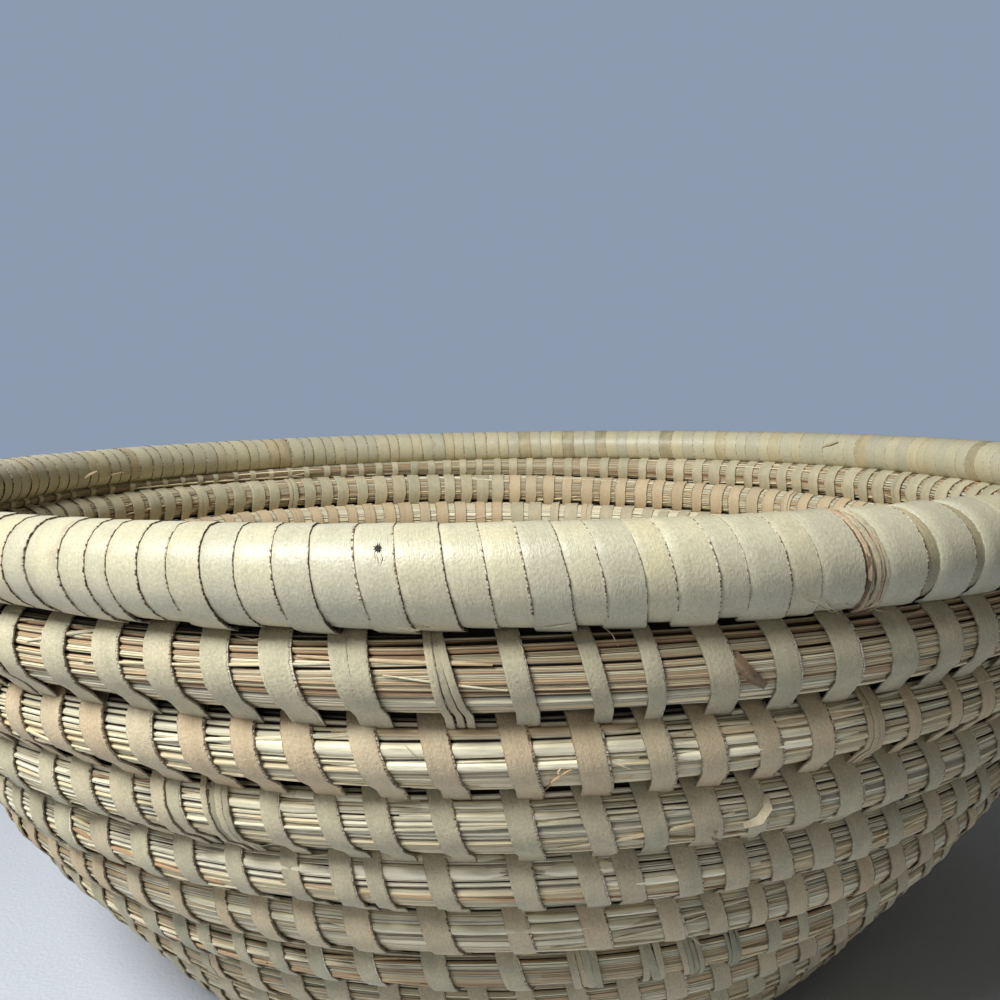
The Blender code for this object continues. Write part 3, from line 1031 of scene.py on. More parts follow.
@dataclass(frozen=True)
class StemFinish:
    """Dry grass stems: each with its own colour, streaked along, with painted shade, nearly black, in the
    gaps.
    """

    name: str
    tones: Stops = (
        (0.00, (0.92, 0.85, 0.63)),
        (0.18, (0.85, 0.77, 0.54)),
        (0.34, (0.64, 0.59, 0.42)),
        (0.50, (0.80, 0.69, 0.45)),
        (0.66, (0.76, 0.61, 0.36)),
        (0.82, (0.64, 0.46, 0.26)),
        (1.00, (0.44, 0.265, 0.135)),
    )
    # painted shade: the colour that the gaps between stems, and the cracks and lines between thin stems,
    # are darkened to
    gap_shade_color: Color = (0.026, 0.018, 0.010)
    brightness: float = 1.18
    roughness: float = 0.5
    piece_length: float = 0.28
    relief: float = 0.00015

    def material(self) -> Material:
        """Builds the material.

        Returns:
            A material that reads the attributes stem, groove, run, warmth, fineness and stem_side, whose
            fraction is the place across the stem. Groove is the share of painted shade in the gaps between
            stems and near the row's seams.
        """
        made, maker = new_material(self.name)
        names = ("stem", "groove", "run", "warmth", "fineness", "stem_side")
        stem, groove, run, warmth, fineness, side = (maker.read(name) for name in names)
        side = maker.math("FRACT", side)
        own = maker.chance(stem * 1.37 + 0.5)

        def streaks(by_stem: float, across: float, along: float, detail: float) -> Value:
            """Noise with these scales from stem to stem, across and along."""
            return maker.noise(maker.compose(stem * by_stem, side * across, run * along), detail=detail)

        # Each stem is split into up to three thin ones with lines of painted shade between them
        thin_stems = maker.math("FLOOR", fineness * 1.7 + own) + 1.0
        sway = maker.noise(maker.compose(stem * 3.3, run * 25.0, 7.0))
        thin_place = side * thin_stems + (sway - 0.5) * 0.5
        thin_stem = maker.math("FLOOR", thin_place)
        from_middle = maker.math("ABSOLUTE", thin_place - thin_stem - 0.5)
        line = maker.between(from_middle, 0.36, 0.5) * maker.math("MINIMUM", thin_stems - 1.0, 1.0)

        piece = maker.math("FLOOR", run / self.piece_length + own * 7.0)
        key = maker.compose(stem + 0.5 + thin_stem * 61.3, piece, 0.0)
        draw = maker.out("ShaderNodeTexWhiteNoise", {"noise_dimensions": "2D"}, {"Vector": key})
        group = maker.noise(maker.compose(stem * 0.19, run * 8.0, 0.0), detail=1.0)
        streak = streaks(17.3, 5.0, 30.0, 3.0)
        fine = streaks(5.1, 16.0, 200.0, 2.0)
        split = streaks(9.7, 7.0, 12.0, 1.0)
        # Painted shade in fine cracks along the stems
        crack = (1.0 - maker.between(split, 0.36, 0.47)) * fineness
        pick = draw * (0.6 + warmth * 0.3) + warmth * 0.3 + (streak - 0.5) * 0.2
        pick = pick + (group - 0.5) * (0.35 + warmth * 0.9) + (split - 0.5) * fineness * 0.8
        bright = self.brightness + (streak - 0.5) * 0.8 + (fine - 0.5) * 0.7
        # Painted shade: darker towards the valleys between stems and the row's seams, and in the cracks and
        # lines
        painted_gap_shade = maker.between(groove + (fine - 0.5) * 0.4, 0.45, 1.05)
        dark = maker.math("MAXIMUM", crack * 0.4, line * 0.6)
        color = maker.mixed(painted_gap_shade, maker.colors(pick, self.tones) * bright, self.gap_shade_color)
        color = maker.mixed(dark, color, self.gap_shade_color)
        height = streak * 0.6 + fine * 0.6 - crack - line
        maker.surface(color, self.roughness + painted_gap_shade * 0.35, height, self.relief)
        return made


RIM_LEAF = LeafFinish(
    "rim leaf",
    tones=(
        (0.0, (0.52, 0.49, 0.35)),
        (0.28, (0.555, 0.515, 0.357)),
        (0.52, (0.585, 0.535, 0.357)),
        (0.68, (0.60, 0.535, 0.338)),
        (0.78, (0.56, 0.465, 0.285)),
        # Darkest stop, reached mostly by the low-lying olive wraps: olive leaf darkened further with
        # painted shade
        (0.95, (0.33, 0.30, 0.18)),
    ),
)
ROW_LEAF = LeafFinish(
    "row leaf",
    tones=(
        (0.0, (0.44, 0.41, 0.275)),
        (0.26, (0.55, 0.49, 0.325)),
        (0.46, (0.60, 0.505, 0.33)),
        (0.64, (0.62, 0.485, 0.30)),
        (0.80, (0.53, 0.395, 0.235)),
        (1.0, (0.17, 0.105, 0.055)),
    ),
    edge_tones=(
        (0.0, (0.10, 0.062, 0.033)),
        (0.36, (0.20, 0.13, 0.07)),
        (0.46, (0.42, 0.32, 0.19)),
        (0.56, (0.66, 0.59, 0.43)),
        (1.0, (0.82, 0.77, 0.60)),
    ),
    roughness=0.7,
    edge_share=0.09,
    left_edge=0.8,
    edge_shadow_line=0.3,
    edge_brown=0.5,
    wall_shade_share=0.9,
    own_contrast=0.2,
    stain_cover=0.0,
    fibres_across=40.0,
    ticks_a_metre=4200.0,
    fibre_contrast=0.35,
    mottle_contrast=0.3,
    relief=0.00016,
)
STEMS = StemFinish("grass stems")


@dataclass(frozen=True)
class HoleFinish:
    """Nearly black painted shade of a hole's inside, with a little dust."""

    name: str = "insect hole"
    # painted shade: the hole is a sheet laid on the leaf, and this colour stands for its shaded inside
    dark: Color = (0.006, 0.006, 0.005)
    dust: Color = (0.10, 0.085, 0.055)
    grains_a_metre: float = 2400.0
    roughness: float = 0.8
    relief: float = 0.0001

    def material(self) -> Material:
        """Builds the material.

        Returns:
            A material that needs no attribute.
        """
        made, maker = new_material(self.name)
        grain = maker.noise(maker.place(), self.grains_a_metre, 2.0)
        color = maker.mixed(maker.between(grain, 0.45, 0.75), self.dark, self.dust)
        maker.surface(color, self.roughness + grain * 0.1, grain, self.relief)
        return made


@dataclass
class Foundation:
    """Bundle of grass stems: a tube whose skin has one ridge a stem."""

    bowl: BowlShape
    stems_around: int = 42
    ridge_share: float = 0.085
    wander_share: float = 0.14
    twist: float = 0.9
    step: float = 0.005
    fill_share: float = 0.985
    columns_a_stem: int = 3
    valley_shift: float = 0.3
    waver_stems: float = 2.2
    wavers_a_metre: float = 17.0
    swells_a_metre: float = 22.0
    ridge_depths: tuple[float, float] = (0.4, 1.5)
    # where painted shade near the row's upper and lower seams starts and is full, as sines of the angle
    # round the bundle
    seam_shade_sines: tuple[float, float] = (0.80, 0.97)
    merge_distance: float = 0.00001
    overlap_turns: float = 0.002
    lowest: float = 0.0003
    row_warmth_shares: Sequence[float] = (0.55, 0.10, 0.06, 0.12, 0.26, 0.38, 0.30, 0.35)
    row_fineness_shares: Sequence[float] = (1.0, 0.25, 0.45, 0.5, 0.7, 0.9, 0.7, 0.7)

    def tree(self) -> GeometryTree:
        """Builds the tree that turns a path of seats into a bundle of stems.

        Returns:
            The tree, whose geometry is the path's points with the attributes of their seats.
        """
        tree = GeometryTree("bundle_of_stems")
        stems, seed, material = tree.takes(Stems="Int", Seed="Int", Material="Material")
        ridge, wander, twist = tree.takes(Ridge="Float", Wander="Float", Twist="Float")
        (lowest,) = tree.takes(Lowest="Float")
        path = tree.geometry
        rings = tree.out("GeometryNodeAttributeDomainSize", {"component": "MESH"}, {"Geometry": path})
        columns = stems * self.columns_a_stem + 1.0
        grid = tree.shape("MeshGrid", {"Vertices X": rings, "Vertices Y": columns})
        index = tree.out("GeometryNodeInputIndex")
        ring = tree.math("FLOOR", index / columns)
        column = index - ring * columns
        stem = tree.math("FLOOR", column / self.columns_a_stem)
        step = column - stem * self.columns_a_stem

        def valley(number: Value) -> Value:
            """Where a stem starts, counted in stems round the bundle."""
            own = tree.math("MODULO", number + stems, stems)
            return number + tree.random(-self.valley_shift, self.valley_shift, own, seed)

        def sampled(name: str, kind: str = "FLOAT") -> NodeSocket:
            """An attribute of the path at this ring."""
            inputs = {"Geometry": path, "Value": tree.attribute(name, kind), "Index": ring}
            return tree.shape("SampleIndex", inputs, data_type=kind, domain="POINT")

        names = ("run", "half_depth", "half_height", "warmth", "fineness")
        run, half_depth, half_height, warmth, fineness = (Value(tree, sampled(name)) for name in names)
        start, end = valley(stem), valley(stem + 1.0)
        width, width_before = end - start, start - valley(stem - 1.0)
        place = start + (end - start) * (step / self.columns_a_stem)
        own = tree.math("MODULO", stem, stems)
        round_it = own / stems * tau
        east, north = tree.math("COSINE", round_it), tree.math("SINE", round_it)
        waver = tree.noise(tree.compose(east * 1.6, north * 1.6, run * self.wavers_a_metre), detail=1.0)
        angle = (place + (waver - 0.5) * self.waver_stems) / stems * tau + run * twist
        in_gap = tree.math("COMPARE", step, 0.0)
        proud = tree.noise(tree.compose(own * 5.7, run * self.swells_a_metre, 3.0), detail=1.0)
        depth = tree.random(*self.ridge_depths, own, seed + 1.0)
        skin = 1.0 - ridge * in_gap * depth * (width + width_before) / 2.0
        skin = skin + (1.0 - in_gap) * ((width - 1.0) * 0.05 - wander * (proud - 0.45))
        sine = tree.math("SINE", angle)
        out = half_depth * tree.math("COSINE", angle) * skin
        seat = Arrow(tree, sampled("seat", "FLOAT_VECTOR"))
        point = tree.bent(seat, out, half_height * sine * skin, sampled)

        made = tree.moved(grid, point, lowest)
        # Painted shade: groove is full in the valleys between stems and grows near the row's upper and
        # lower seams, where it meets the rows above and below
        seam = tree.between(tree.math("ABSOLUTE", sine), *self.seam_shade_sines)
        kept = {"groove": in_gap * depth + seam, "run": run, "warmth": warmth, "fineness": fineness}
        made = tree.store(made, {**kept, "stem_side": column / self.columns_a_stem})
        face_columns = columns - 1.0
        face_column = index - tree.math("FLOOR", index / face_columns) * face_columns
        made = tree.store(made, {"stem": tree.math("FLOOR", face_column / self.columns_a_stem)}, "FACE")
        made = tree.shape("MergeByDistance", {"Geometry": made, "Distance": self.merge_distance})
        tree.end(tree.shape("SetShadeSmooth", {"Geometry": made}), material)
        return tree

    @staticmethod
    def share_at(shares: Sequence[float], turn: float) -> float:
        """What a table of shares by row holds at a place on the winding.

        Args:
            shares: One share a row, from the rim down.
            turn: Place on the winding.

        Returns:
            The share, which changes smoothly from row to row.
        """
        rows_down = max(0.0, -turn)
        row = int(rows_down)
        here, below = shares[min(row, len(shares) - 1)], shares[min(row + 1, len(shares) - 1)]
        return here + (below - here) * max(0.0, (rows_down - row) * 2 - 1)

    def path_mesh(self, name: str, seats: Sequence[Seat]) -> Mesh:
        """The path of a bundle as points with attributes, its first and last rings closed to a point.

        Args:
            name: The mesh's name.
            seats: The seats along the path.

        Returns:
            The mesh.
        """
        closed = [seats[0], *seats, seats[-1]]
        mesh = bpy.data.meshes.new(name)
        mesh.from_pydata([seat.point for seat in closed], [], [])
        sizes = [0.0, *[self.fill_share] * len(seats), 0.0]
        numbers = {
            "run": [seat.run for seat in closed],
            "half_depth": [seat.half_depth * size for seat, size in zip(closed, sizes)],
            "half_height": [seat.half_height * size for seat, size in zip(closed, sizes)],
            "warmth": [self.share_at(self.row_warmth_shares, seat.turn) for seat in closed],
            "fineness": [self.share_at(self.row_fineness_shares, seat.turn) for seat in closed],
        }
        write_attributes(mesh, numbers, closed)
        return mesh

    def build(self, name: str, seats: Sequence[Seat], material: Material, seed: int) -> Object:
        """Makes one stretch of the bundle.

        Args:
            name: The piece's name.
            seats: The seats along it.
            material: The finish of its stems.
            seed: Seed of what differs from stem to stem.

        Returns:
            The piece.
        """
        sizes = {"Stems": self.stems_around, "Ridge": self.ridge_share, "Wander": self.wander_share}
        values = {**sizes, "Twist": self.twist, "Seed": seed, "Lowest": self.lowest, "Material": material}
        return self.tree().apply(show(name, self.path_mesh(name, seats)), values)


@dataclass(frozen=True)
class OutlinePoint:
    """A point of a strip's path round a bundle: how far ahead, outward and upward, its drop and width."""

    ahead: float
    out: float
    up: float
    drop_out: float = 0.0
    drop_up: float = 0.0
    wide: float = 1.0


@dataclass(frozen=True)
class StripProfile:
    """Across a strip: places from -1 to 1 with their lift off the bundle."""

    places: Sequence[tuple[float, float]]
    sharp_place: float = 0.95

    def mesh(self, name: str, outline: Sequence[OutlinePoint], looped: bool) -> Mesh:
        """Makes the strip as one closed skin.

        Args:
            name: The mesh's name.
            outline: The path, anticlockwise or clockwise round the bundle.
            looped: Whether the path's end joins its start; otherwise the strip has two closed ends.

        Returns:
            A mesh with X ahead, Y outward and Z upward, the attributes across and drop, and a UV map.
        """
        maker = bmesh.new()
        across = maker.verts.layers.float.new("across")
        drop = maker.verts.layers.float_vector.new("drop")
        uv = maker.loops.layers.uv.new("UVMap")
        count = len(outline)
        rings, lengths = [], [0.0]
        for at, here in enumerate(outline):
            following = outline[(at + 1) % count]
            before = outline[at - 1] if looped or at else here
            after = following if looped or at + 1 < count else here
            run = Vector((after.out - before.out, after.up - before.up))
            normal = Vector((-run.y, run.x)).normalized()
            lengths.append(lengths[-1] + hypot(following.out - here.out, following.up - here.up))
            ring = []
            for place, lift in self.places:
                point = (here.ahead, here.out + normal.x * lift, here.up + normal.y * lift)
                vert = maker.verts.new(point)
                vert[across] = place * here.wide
                vert[drop] = (0.0, here.drop_out, here.drop_up)
                ring.append(vert)
            rings.append(ring)
        for at in range(count if looped else count - 1):
            ring, following = rings[at], rings[(at + 1) % count]
            for side, face in enumerate(add_quads(maker, ring, following)):
                if abs(self.places[side][0]) > self.sharp_place:
                    maker.edges.get((ring[side], following[side])).smooth = False
                after = (side + 1) % len(ring)
                corners = ((side, at), (side, at + 1), (after, at + 1), (after, at))
                for loop, (edge, crossing) in zip(face.loops, corners):
                    loop[uv].uv = ((self.places[edge][0] + 1) / 2, lengths[crossing])
        if not looped:
            maker.faces.new(rings[0])
            maker.faces.new(list(reversed(rings[-1])))
        bmesh.ops.recalc_face_normals(maker, faces=maker.faces)
        for face in maker.faces:
            face.smooth = True
        return as_mesh(maker, name)


@dataclass(frozen=True)
class Strip:
    """One stitch or wrap to be laid: where, how wide, and how it differs from its neighbours."""

    seat: Seat
    width: float
    tone: float
    drop: float = 0.0
    lift: float = 0.0
    slant: float = 1.0


@dataclass
class Binding:
    """Leaf strips laid round a bundle, each a copy of one strip fitted to its own seat."""

    half_depth: float
    half_height: float
    wavers_a_metre: float = 260.0
    lean_a_metre: float = 60.0

    def tree(self) -> GeometryTree:
        """Builds the tree that lays a copy of the strip at each seat.

        Returns:
            The tree, whose geometry is one point a strip with the attributes of its seat.
        """
        tree = GeometryTree("leaf_strips")
        strip, seed, curl, lowest, material = tree.takes(
            Strip="Object", Seed="Int", Curl="Float", Lowest="Float", Material="Material"
        )
        points = tree.store(tree.geometry, {"number": tree.out("GeometryNodeInputIndex")})
        copy = tree.node("GeometryNodeObjectInfo", inputs={"Object": strip}).outputs["Geometry"]
        laid = tree.shape("InstanceOnPoints", {"Points": points, "Instance": copy})
        laid = tree.shape("RealizeInstances", {"Geometry": laid})

        template = Arrow(tree, tree.shape("InputPosition", {}))
        ahead, out, up = (template + tree.arrow("drop") * tree.number("drop_share")).parts()
        number = tree.number("number")
        scale = self.wavers_a_metre
        waver = tree.noise(tree.compose(number * 7.3, up * scale, out * scale), detail=1.0)
        lean = tree.random(-1.0, 1.0, number, seed)
        ahead = ahead * tree.number("slant") + tree.number("across") * tree.number("width") / 2.0
        ahead = ahead + (waver - 0.5) * curl + lean * curl * up * self.lean_a_metre
        size = 1.0 + tree.number("lift")
        out = out * tree.number("scale_out") * size
        up = up * tree.number("scale_up") * size
        point = tree.bent(tree.arrow("seat") + tree.arrow("forward") * ahead, out, up, tree.attribute)
        tree.end(tree.moved(laid, point, lowest), material)
        return tree

    def build(
        self,
        name: str,
        strips: Sequence[Strip],
        template: Mesh,
        material: Material,
        seed: int,
        curl: float = 0.0003,
    ) -> Object:
        """Lays the strips as one object. Their points start at the origin and carry their seats.

        Args:
            name: The piece's name.
            strips: The strips.
            template: The strip that is copied.
            material: The finish of the strips.
            seed: Seed of what differs from strip to strip.
            curl: How far the strips waver sideways.

        Returns:
            The piece.
        """
        mesh = bpy.data.meshes.new(name)
        seats = [strip.seat for strip in strips]
        mesh.vertices.add(len(seats))
        own = ("width", "tone", "lift", "slant")
        numbers = {key: [getattr(strip, key) for strip in strips] for key in own}
        numbers["drop_share"] = [strip.drop for strip in strips]
        numbers["scale_out"] = [seat.half_depth / self.half_depth for seat in seats]
        numbers["scale_up"] = [seat.half_height / self.half_height for seat in seats]
        write_attributes(mesh, numbers, seats)
        pattern = bpy.data.objects.new(name + "_pattern", template)
        values = {"Strip": pattern, "Seed": seed, "Curl": curl, "Lowest": 0.0, "Material": material}
        laid = self.tree().apply(show(name, mesh), values)
        bpy.data.objects.remove(pattern)
        return laid


@dataclass(frozen=True)
class Place:
    """Where a strip goes on the winding, how wide it is and into how many strands it is split."""

    turn: float
    width: float
    strands: int = 1


@dataclass
class RowStitches:
    """Strips that bind each row to the row below, about 9 mm apart."""

    bowl: BowlShape
    view: Viewpoint
    spacing: float = 0.009
    width: float = 0.0041
    slant: float = 0.0036
    outer_angles: Sequence[float] = (0, 22, 44, 66, 88, 110, 134)
    outer_slides: Sequence[float] = (-0.5, -0.38, -0.22, -0.04, 0.15, 0.33, 0.5)
    inner_angles: Sequence[float] = (236, 258, 280, 302, 330)
    skin_lift: float = 0.00022
    thickness: float = 0.00012
    crown: float = 0.00008
    bite: float = 0.0014
    inner_width: float = 1.3
    split_share: float = 0.06
    least_width_share: float = 0.45
    most_front_width: float = 1.2
    tone_spread: float = 0.08
    darkest_tone: float = 0.85
    row_tones: Sequence[float] = (0.3, 0.8, 0.35, 0.35, 0.7, 0.2, 0.5, 0.3, 0.6, 0.4)
    seed: int = 11

    @property
    def binding(self) -> Binding:
        """The binding of a full-sized row."""
        return Binding(self.bowl.bundle_depth / 2, self.bowl.row_pitch / 2)

    def template(self) -> Mesh:
        """One stitch round a full-sized row, which bites into the row below.

        Returns:
            The stitch's mesh.
        """
        half_out = self.bowl.bundle_depth / 2 + self.skin_lift
        half_up = self.bowl.row_pitch / 2 + self.skin_lift

        def on_row(degrees: float, slide: float, wide: float = 1.0) -> OutlinePoint:
            """Point of the path on the row's skin, at an angle from the top towards the outside."""
            out, up = half_out * sin(radians(degrees)), half_up * cos(radians(degrees))
            return OutlinePoint(self.slant * slide, out, up, wide=wide)

        points = [on_row(*place) for place in zip(self.outer_angles, self.outer_slides)]
        for slide, out in ((0.55, 0.5), (0.1, -0.42)):
            points.append(OutlinePoint(self.slant * slide, half_out * out, -half_up - self.bite))
        points += [on_row(degrees, -0.04, self.inner_width) for degrees in self.inner_angles]
        top = self.thickness
        places = ((-1, -top), (-0.98, top), (0, top + self.crown), (0.98, top), (1, -top))
        return StripProfile(places).mesh("row_stitch", points, looped=True)

    def photographed(self) -> list[list[Place]]:
        """Reads the strips that the photographed view shows.

        Returns:
            Their places, row by row from the lowest up.
        """
        rows = []
        for row in reversed(range(len(FRONT_STRIPS))):
            places = []
            for left, right in FRONT_STRIPS[row]:
                start, end = (self.view.turn_at(column, self.skin_point, -row) for column in (left, right))
                turn = (start + end) / 2
                width = (end - start) * tau * self.radius_at(turn)
                strands = FRONT_SPLITS.get((row, left), 1)
                places.append(Place(turn, min(width, self.width * self.most_front_width), strands))
            rows.append(places)
        return rows

    def skin_point(self, turn: float) -> Vector:
        """Outermost point of the bundle at a place on the winding."""
        return self.bowl.seat(turn).skin(0.0)

    def radius_at(self, turn: float) -> float:
        """From the axis to the bundle's outer skin at a place on the winding."""
        return hypot(*self.skin_point(turn).xy)

    @cached_property
    def places(self) -> list[Place]:
        """Every strip's place, from the knot to the end of the winding.

        Returns:
            The places in order.
        """
        draw = random.Random(self.seed)
        rows = self.photographed()
        made = []
        turn = self.bowl.first_turn
        while turn < self.bowl.last_turn_share:
            gap = self.spacing * draw.uniform(0.85, 1.15) / (tau * self.radius_at(turn))
            if rows and turn > rows[0][0].turn - gap / 2:
                row = rows.pop(0)
                made += row
                turn = row[-1].turn + gap
                continue
            strands = draw.choice((2, 3)) if draw.random() < self.split_share else 1
            made.append(Place(turn, self.width * draw.uniform(0.82, 1.16), strands))
            turn += gap
        return made

    def strips(self, place: Place, draw: random.Random) -> list[Strip]:
        """Lays the strip of one place, or its strands where it is split.

        Args:
            place: The place.
            draw: Source of what differs from strip to strip.

        Returns:
            The strip or its strands.
        """
        row = int(max(0.0, 0.5 - place.turn))
        base = draw.gauss(self.row_tones[row % len(self.row_tones)], self.tone_spread)
        row_share = self.bowl.seat(place.turn).half_height * 2 / self.bowl.row_pitch
        share = max(self.least_width_share, min(1.0, row_share))
        split = place.strands > 1
        made = []
        for strand in range(place.strands):
            offset = ((strand + 0.5) / place.strands - 0.5) * place.width * share
            turn = place.turn + offset / (tau * self.radius_at(place.turn))
            width = place.width * share / place.strands * (draw.uniform(0.9, 1.3) if split else 1.0)
            tone = min(self.darkest_tone, max(0.0, base + (draw.uniform(-0.25, 0.35) if split else 0.0)))
            lift = draw.uniform(-0.01, 0.03) + (draw.uniform(0.0, 0.05) if split else 0.0)
            slant = draw.uniform(0.8, 1.2) * (draw.uniform(0.75, 1.25) if split else 1.0)
            made.append(Strip(self.bowl.seat(turn), width, tone, lift=lift, slant=slant))
        return made

    def build(self, name: str, start: float, end: float, material: Material) -> Object:
        """Binds the rows between two places on the winding.

        Args:
            name: The piece's name.
            start: First turn.
            end: Last turn.
            material: The finish of the strips.

        Returns:
            The piece.
        """
        draw = random.Random(f"{self.seed} {name}")
        places = [place for place in self.places if start <= place.turn < end]
        strips = [strip for place in places for strip in self.strips(place, draw)]
        return self.binding.build(name, strips, self.template(), material, self.seed)


@dataclass
class WoundRim:
    """The rim: its bundle of stems, and the strip wound closely round it."""

    bowl: BowlShape
    view: Viewpoint
    wrap_pitch: float = 0.0053
    pitch_swing: float = 0.14
    overlap: float = 0.0003
    bundle_radius: float = 0.0062
    skin_radius: float = 0.00685
    outer_slant: float = 0.0036
    half_steps: int = 10
    step_degrees: float = 17.6
    end_sink: float = 0.0014
    seam_degrees: float = 35
    seats_around: int = 240
    edge_drop: float = 0.00024
    crown: float = 0.00016
    grip_out: float = 0.0006
    grip_down: float = 0.0010
    splice_tones: Sequence[float] = (1.25, 1.3, 1.25, 0.95, 0.5, 1.0, 1.2, 0.6, 0.3, 0.95, 1.1, 0.5)
    splice_widths: tuple[float, float] = (0.0004, 0.0007)
    splice_curl: float = 0.0014
    splice_seed: int = 2
    curl: float = 0.0005
    seed: int = 5

    def template(self) -> Mesh:
        """One wrap, from the underside of the rim up its inner side, over the top and down outside.

        Returns:
            The wrap's mesh.
        """
        points = []
        inner_slant = self.wrap_pitch - self.outer_slant
        for step in range(-self.half_steps, self.half_steps + 1):
            angle = radians(step * self.step_degrees)
            share = step / self.half_steps
            ahead = inner_slant * share - self.outer_slant / 2
            if step >= 0:
                ahead = self.outer_slant * (share - 0.5)
            radius = self.skin_radius - (self.end_sink if abs(step) == self.half_steps else 0.0)
            low = max(0.0, share - 0.6) / 0.4 if step < self.half_steps else 0.3
            across, up = radius * sin(angle), radius * cos(angle)
            points.append(OutlinePoint(ahead, across, up, self.grip_out * low, -self.grip_down * low))
        left = ((-1, -self.edge_drop), (-0.9, 0.00005), (-0.3, self.crown))
        places = (*left, (0.4, self.crown * 1.4), (0.972, self.edge_drop * 1.1), (1, 0.0))
        return StripProfile(places).mesh("rim_wrap", points, looped=False)

    def skin_point(self, turn: float) -> Vector:
        """Point on the upper outer skin of the rim, where the photographed seams are measured."""
        return self.bowl.rim_seat(turn, self.skin_radius).skin(radians(self.seam_degrees))

    def turn_at(self, column: float) -> float:
        """Turn of the rim in a pixel column of the photographed view."""
        return self.view.turn_at(column, self.skin_point)

    def wraps(self, draw: random.Random) -> list[tuple[float, float, float, float]]:
        """Finds every wrap once round the rim.

        Args:
            draw: Source of what differs from wrap to wrap.

        Returns:
            Turn of the seam before each wrap, with its tone, lift and grip.
        """
        made = [(self.turn_at(column), *rest) for column, *rest in RIM_WRAPS]
        last, goal = made[-1][0], made[0][0] + 1
        count = round((goal - last) * tau * self.bowl.rim_radius / self.wrap_pitch)
        grip = 0.0
        for number in range(1, count):
            if number % 2:
                grip = draw.choice((0.0, 0.9, 0.3, 1.0))
            shift = draw.uniform(-self.pitch_swing, self.pitch_swing)
            turn = last + (goal - last) * (number + shift) / count
            tone = min(1.1, max(0.0, draw.gauss(0.5, 0.3)))
            made.append((turn, tone, draw.uniform(-0.004, 0.018), grip))
        return made

    def strips(self, draw: random.Random) -> list[Strip]:
        """Lays every wrap from its own seam to the next, and leaves the splice open.

        Args:
            draw: Source of what differs from wrap to wrap.

        Returns:
            The wraps.
        """
        wraps = self.wraps(draw)
        outer_length = tau * (self.bowl.rim_radius + self.skin_radius)
        splice = self.turn_at(RIM_SPLICE[0])
        made = []
        for at, (start, tone, lift, grip) in enumerate(wraps):
            end = wraps[at + 1][0] if at + 1 < len(wraps) else wraps[0][0] + 1
            end = splice if start < splice < end else end
            width = (end - start) * outer_length + self.overlap * 2 + draw.uniform(0, 0.0003)
            seat = self.bowl.rim_seat((start + end) / 2, self.skin_radius)
            made.append(Strip(seat, width, tone, drop=grip + draw.uniform(-0.1, 0.1), lift=lift))
        return made

    def splice_strips(self, draw: random.Random) -> list[Strip]:
        """Shreds the old and the new strip where they are joined.

        Args:
            draw: Source of what differs from strand to strand.

        Returns:
            The strands.
        """
        start, end = (self.turn_at(column) for column in RIM_SPLICE)
        made = []
        for strand, tone in enumerate(self.splice_tones):
            turn = start + (end - start) * (strand + 0.5) / len(self.splice_tones)
            seat, width = self.bowl.rim_seat(turn, self.skin_radius), draw.uniform(*self.splice_widths)
            drop, lift = draw.uniform(0.0, 1.2), draw.uniform(-0.03, 0.03)
            made.append(Strip(seat, width, tone, drop, lift, slant=draw.uniform(0.8, 1.25)))
        return made

    def build(self, leaf: Material, rough: Material, stems: Material) -> Object:
        """Makes the rim's stems, its wraps and their splice.

        Args:
            leaf: The finish of the wraps.
            rough: The finish of the splice.
            stems: The finish of the stems.

        Returns:
            The wraps.
        """
        length, around = tau * self.bowl.rim_radius, self.seats_around
        circle = [
            self.bowl.rim_seat(0.5 + at / around, self.bundle_radius, at / around * length)
            for at in range(around + 2)
        ]
        bundle = Foundation(self.bowl, stems_around=36, fill_share=0.97)
        finish_piece(bundle.build("rim_stems", circle, stems, self.seed), Slot.RIM_GRASS, ["rim_coil"])
        binding = Binding(self.skin_radius, self.skin_radius)
        draw = random.Random(self.seed)
        wraps = binding.build("rim_wraps", self.strips(draw), self.template(), leaf, self.seed, self.curl)
        strands, seed, curl = self.splice_strips(draw), self.splice_seed, self.splice_curl
        finish_piece(binding.build("rim_splice", strands, self.template(), rough, seed, curl), Slot.LEAF)
        return finish_piece(wraps, Slot.LEAF, ["rim_binding"])


@dataclass
class StartKnot:
    """Small ring of stems in the middle of the floor, wound with leaf that meets in its centre."""

    bowl: BowlShape
    ring_radius: float = 0.0033
    half_depth: float = 0.0029
    half_height: float = 0.0050
    wraps: int = 14
    wrap_width: float = 0.0021
    seed: int = 3

    def seat(self, turn: float) -> Seat:
        """The ring of the knot at a place round it.

        Args:
            turn: The place.

        Returns:
            The seat.
        """
        radial, *directions = self.bowl.directions(turn, 0.0)
        point = radial * self.ring_radius + UP * self.bowl.floor_height
        return Seat(turn, 0.0, point, *directions, self.half_depth, self.half_height, 0.0)

    def build(self, leaf: Material) -> None:
        """Makes the knot.

        Args:
            leaf: The finish of its wraps.
        """
        outline = [
            OutlinePoint(0.0, self.half_depth * sin(angle), self.half_height * cos(angle))
            for angle in (radians(30 * step) for step in range(12))
        ]
        profile = StripProfile(((-1, -0.0003), (-0.8, 0.0001), (0, 0.0003), (0.8, 0.0001), (1, -0.0003)))
        draw = random.Random(self.seed)
        strips = []
        for wrap in range(self.wraps):
            tone, lift = draw.uniform(0.2, 0.8), draw.uniform(-0.02, 0.05)
            strips.append(Strip(self.seat(wrap / self.wraps), self.wrap_width, tone, lift=lift))
        template = profile.mesh("knot_wrap", outline, looped=True)
        binding = Binding(self.half_depth, self.half_height)
        knot = binding.build("knot_wraps", strips, template, leaf, self.seed)
        finish_piece(knot, Slot.KNOT, ["start_knot"])


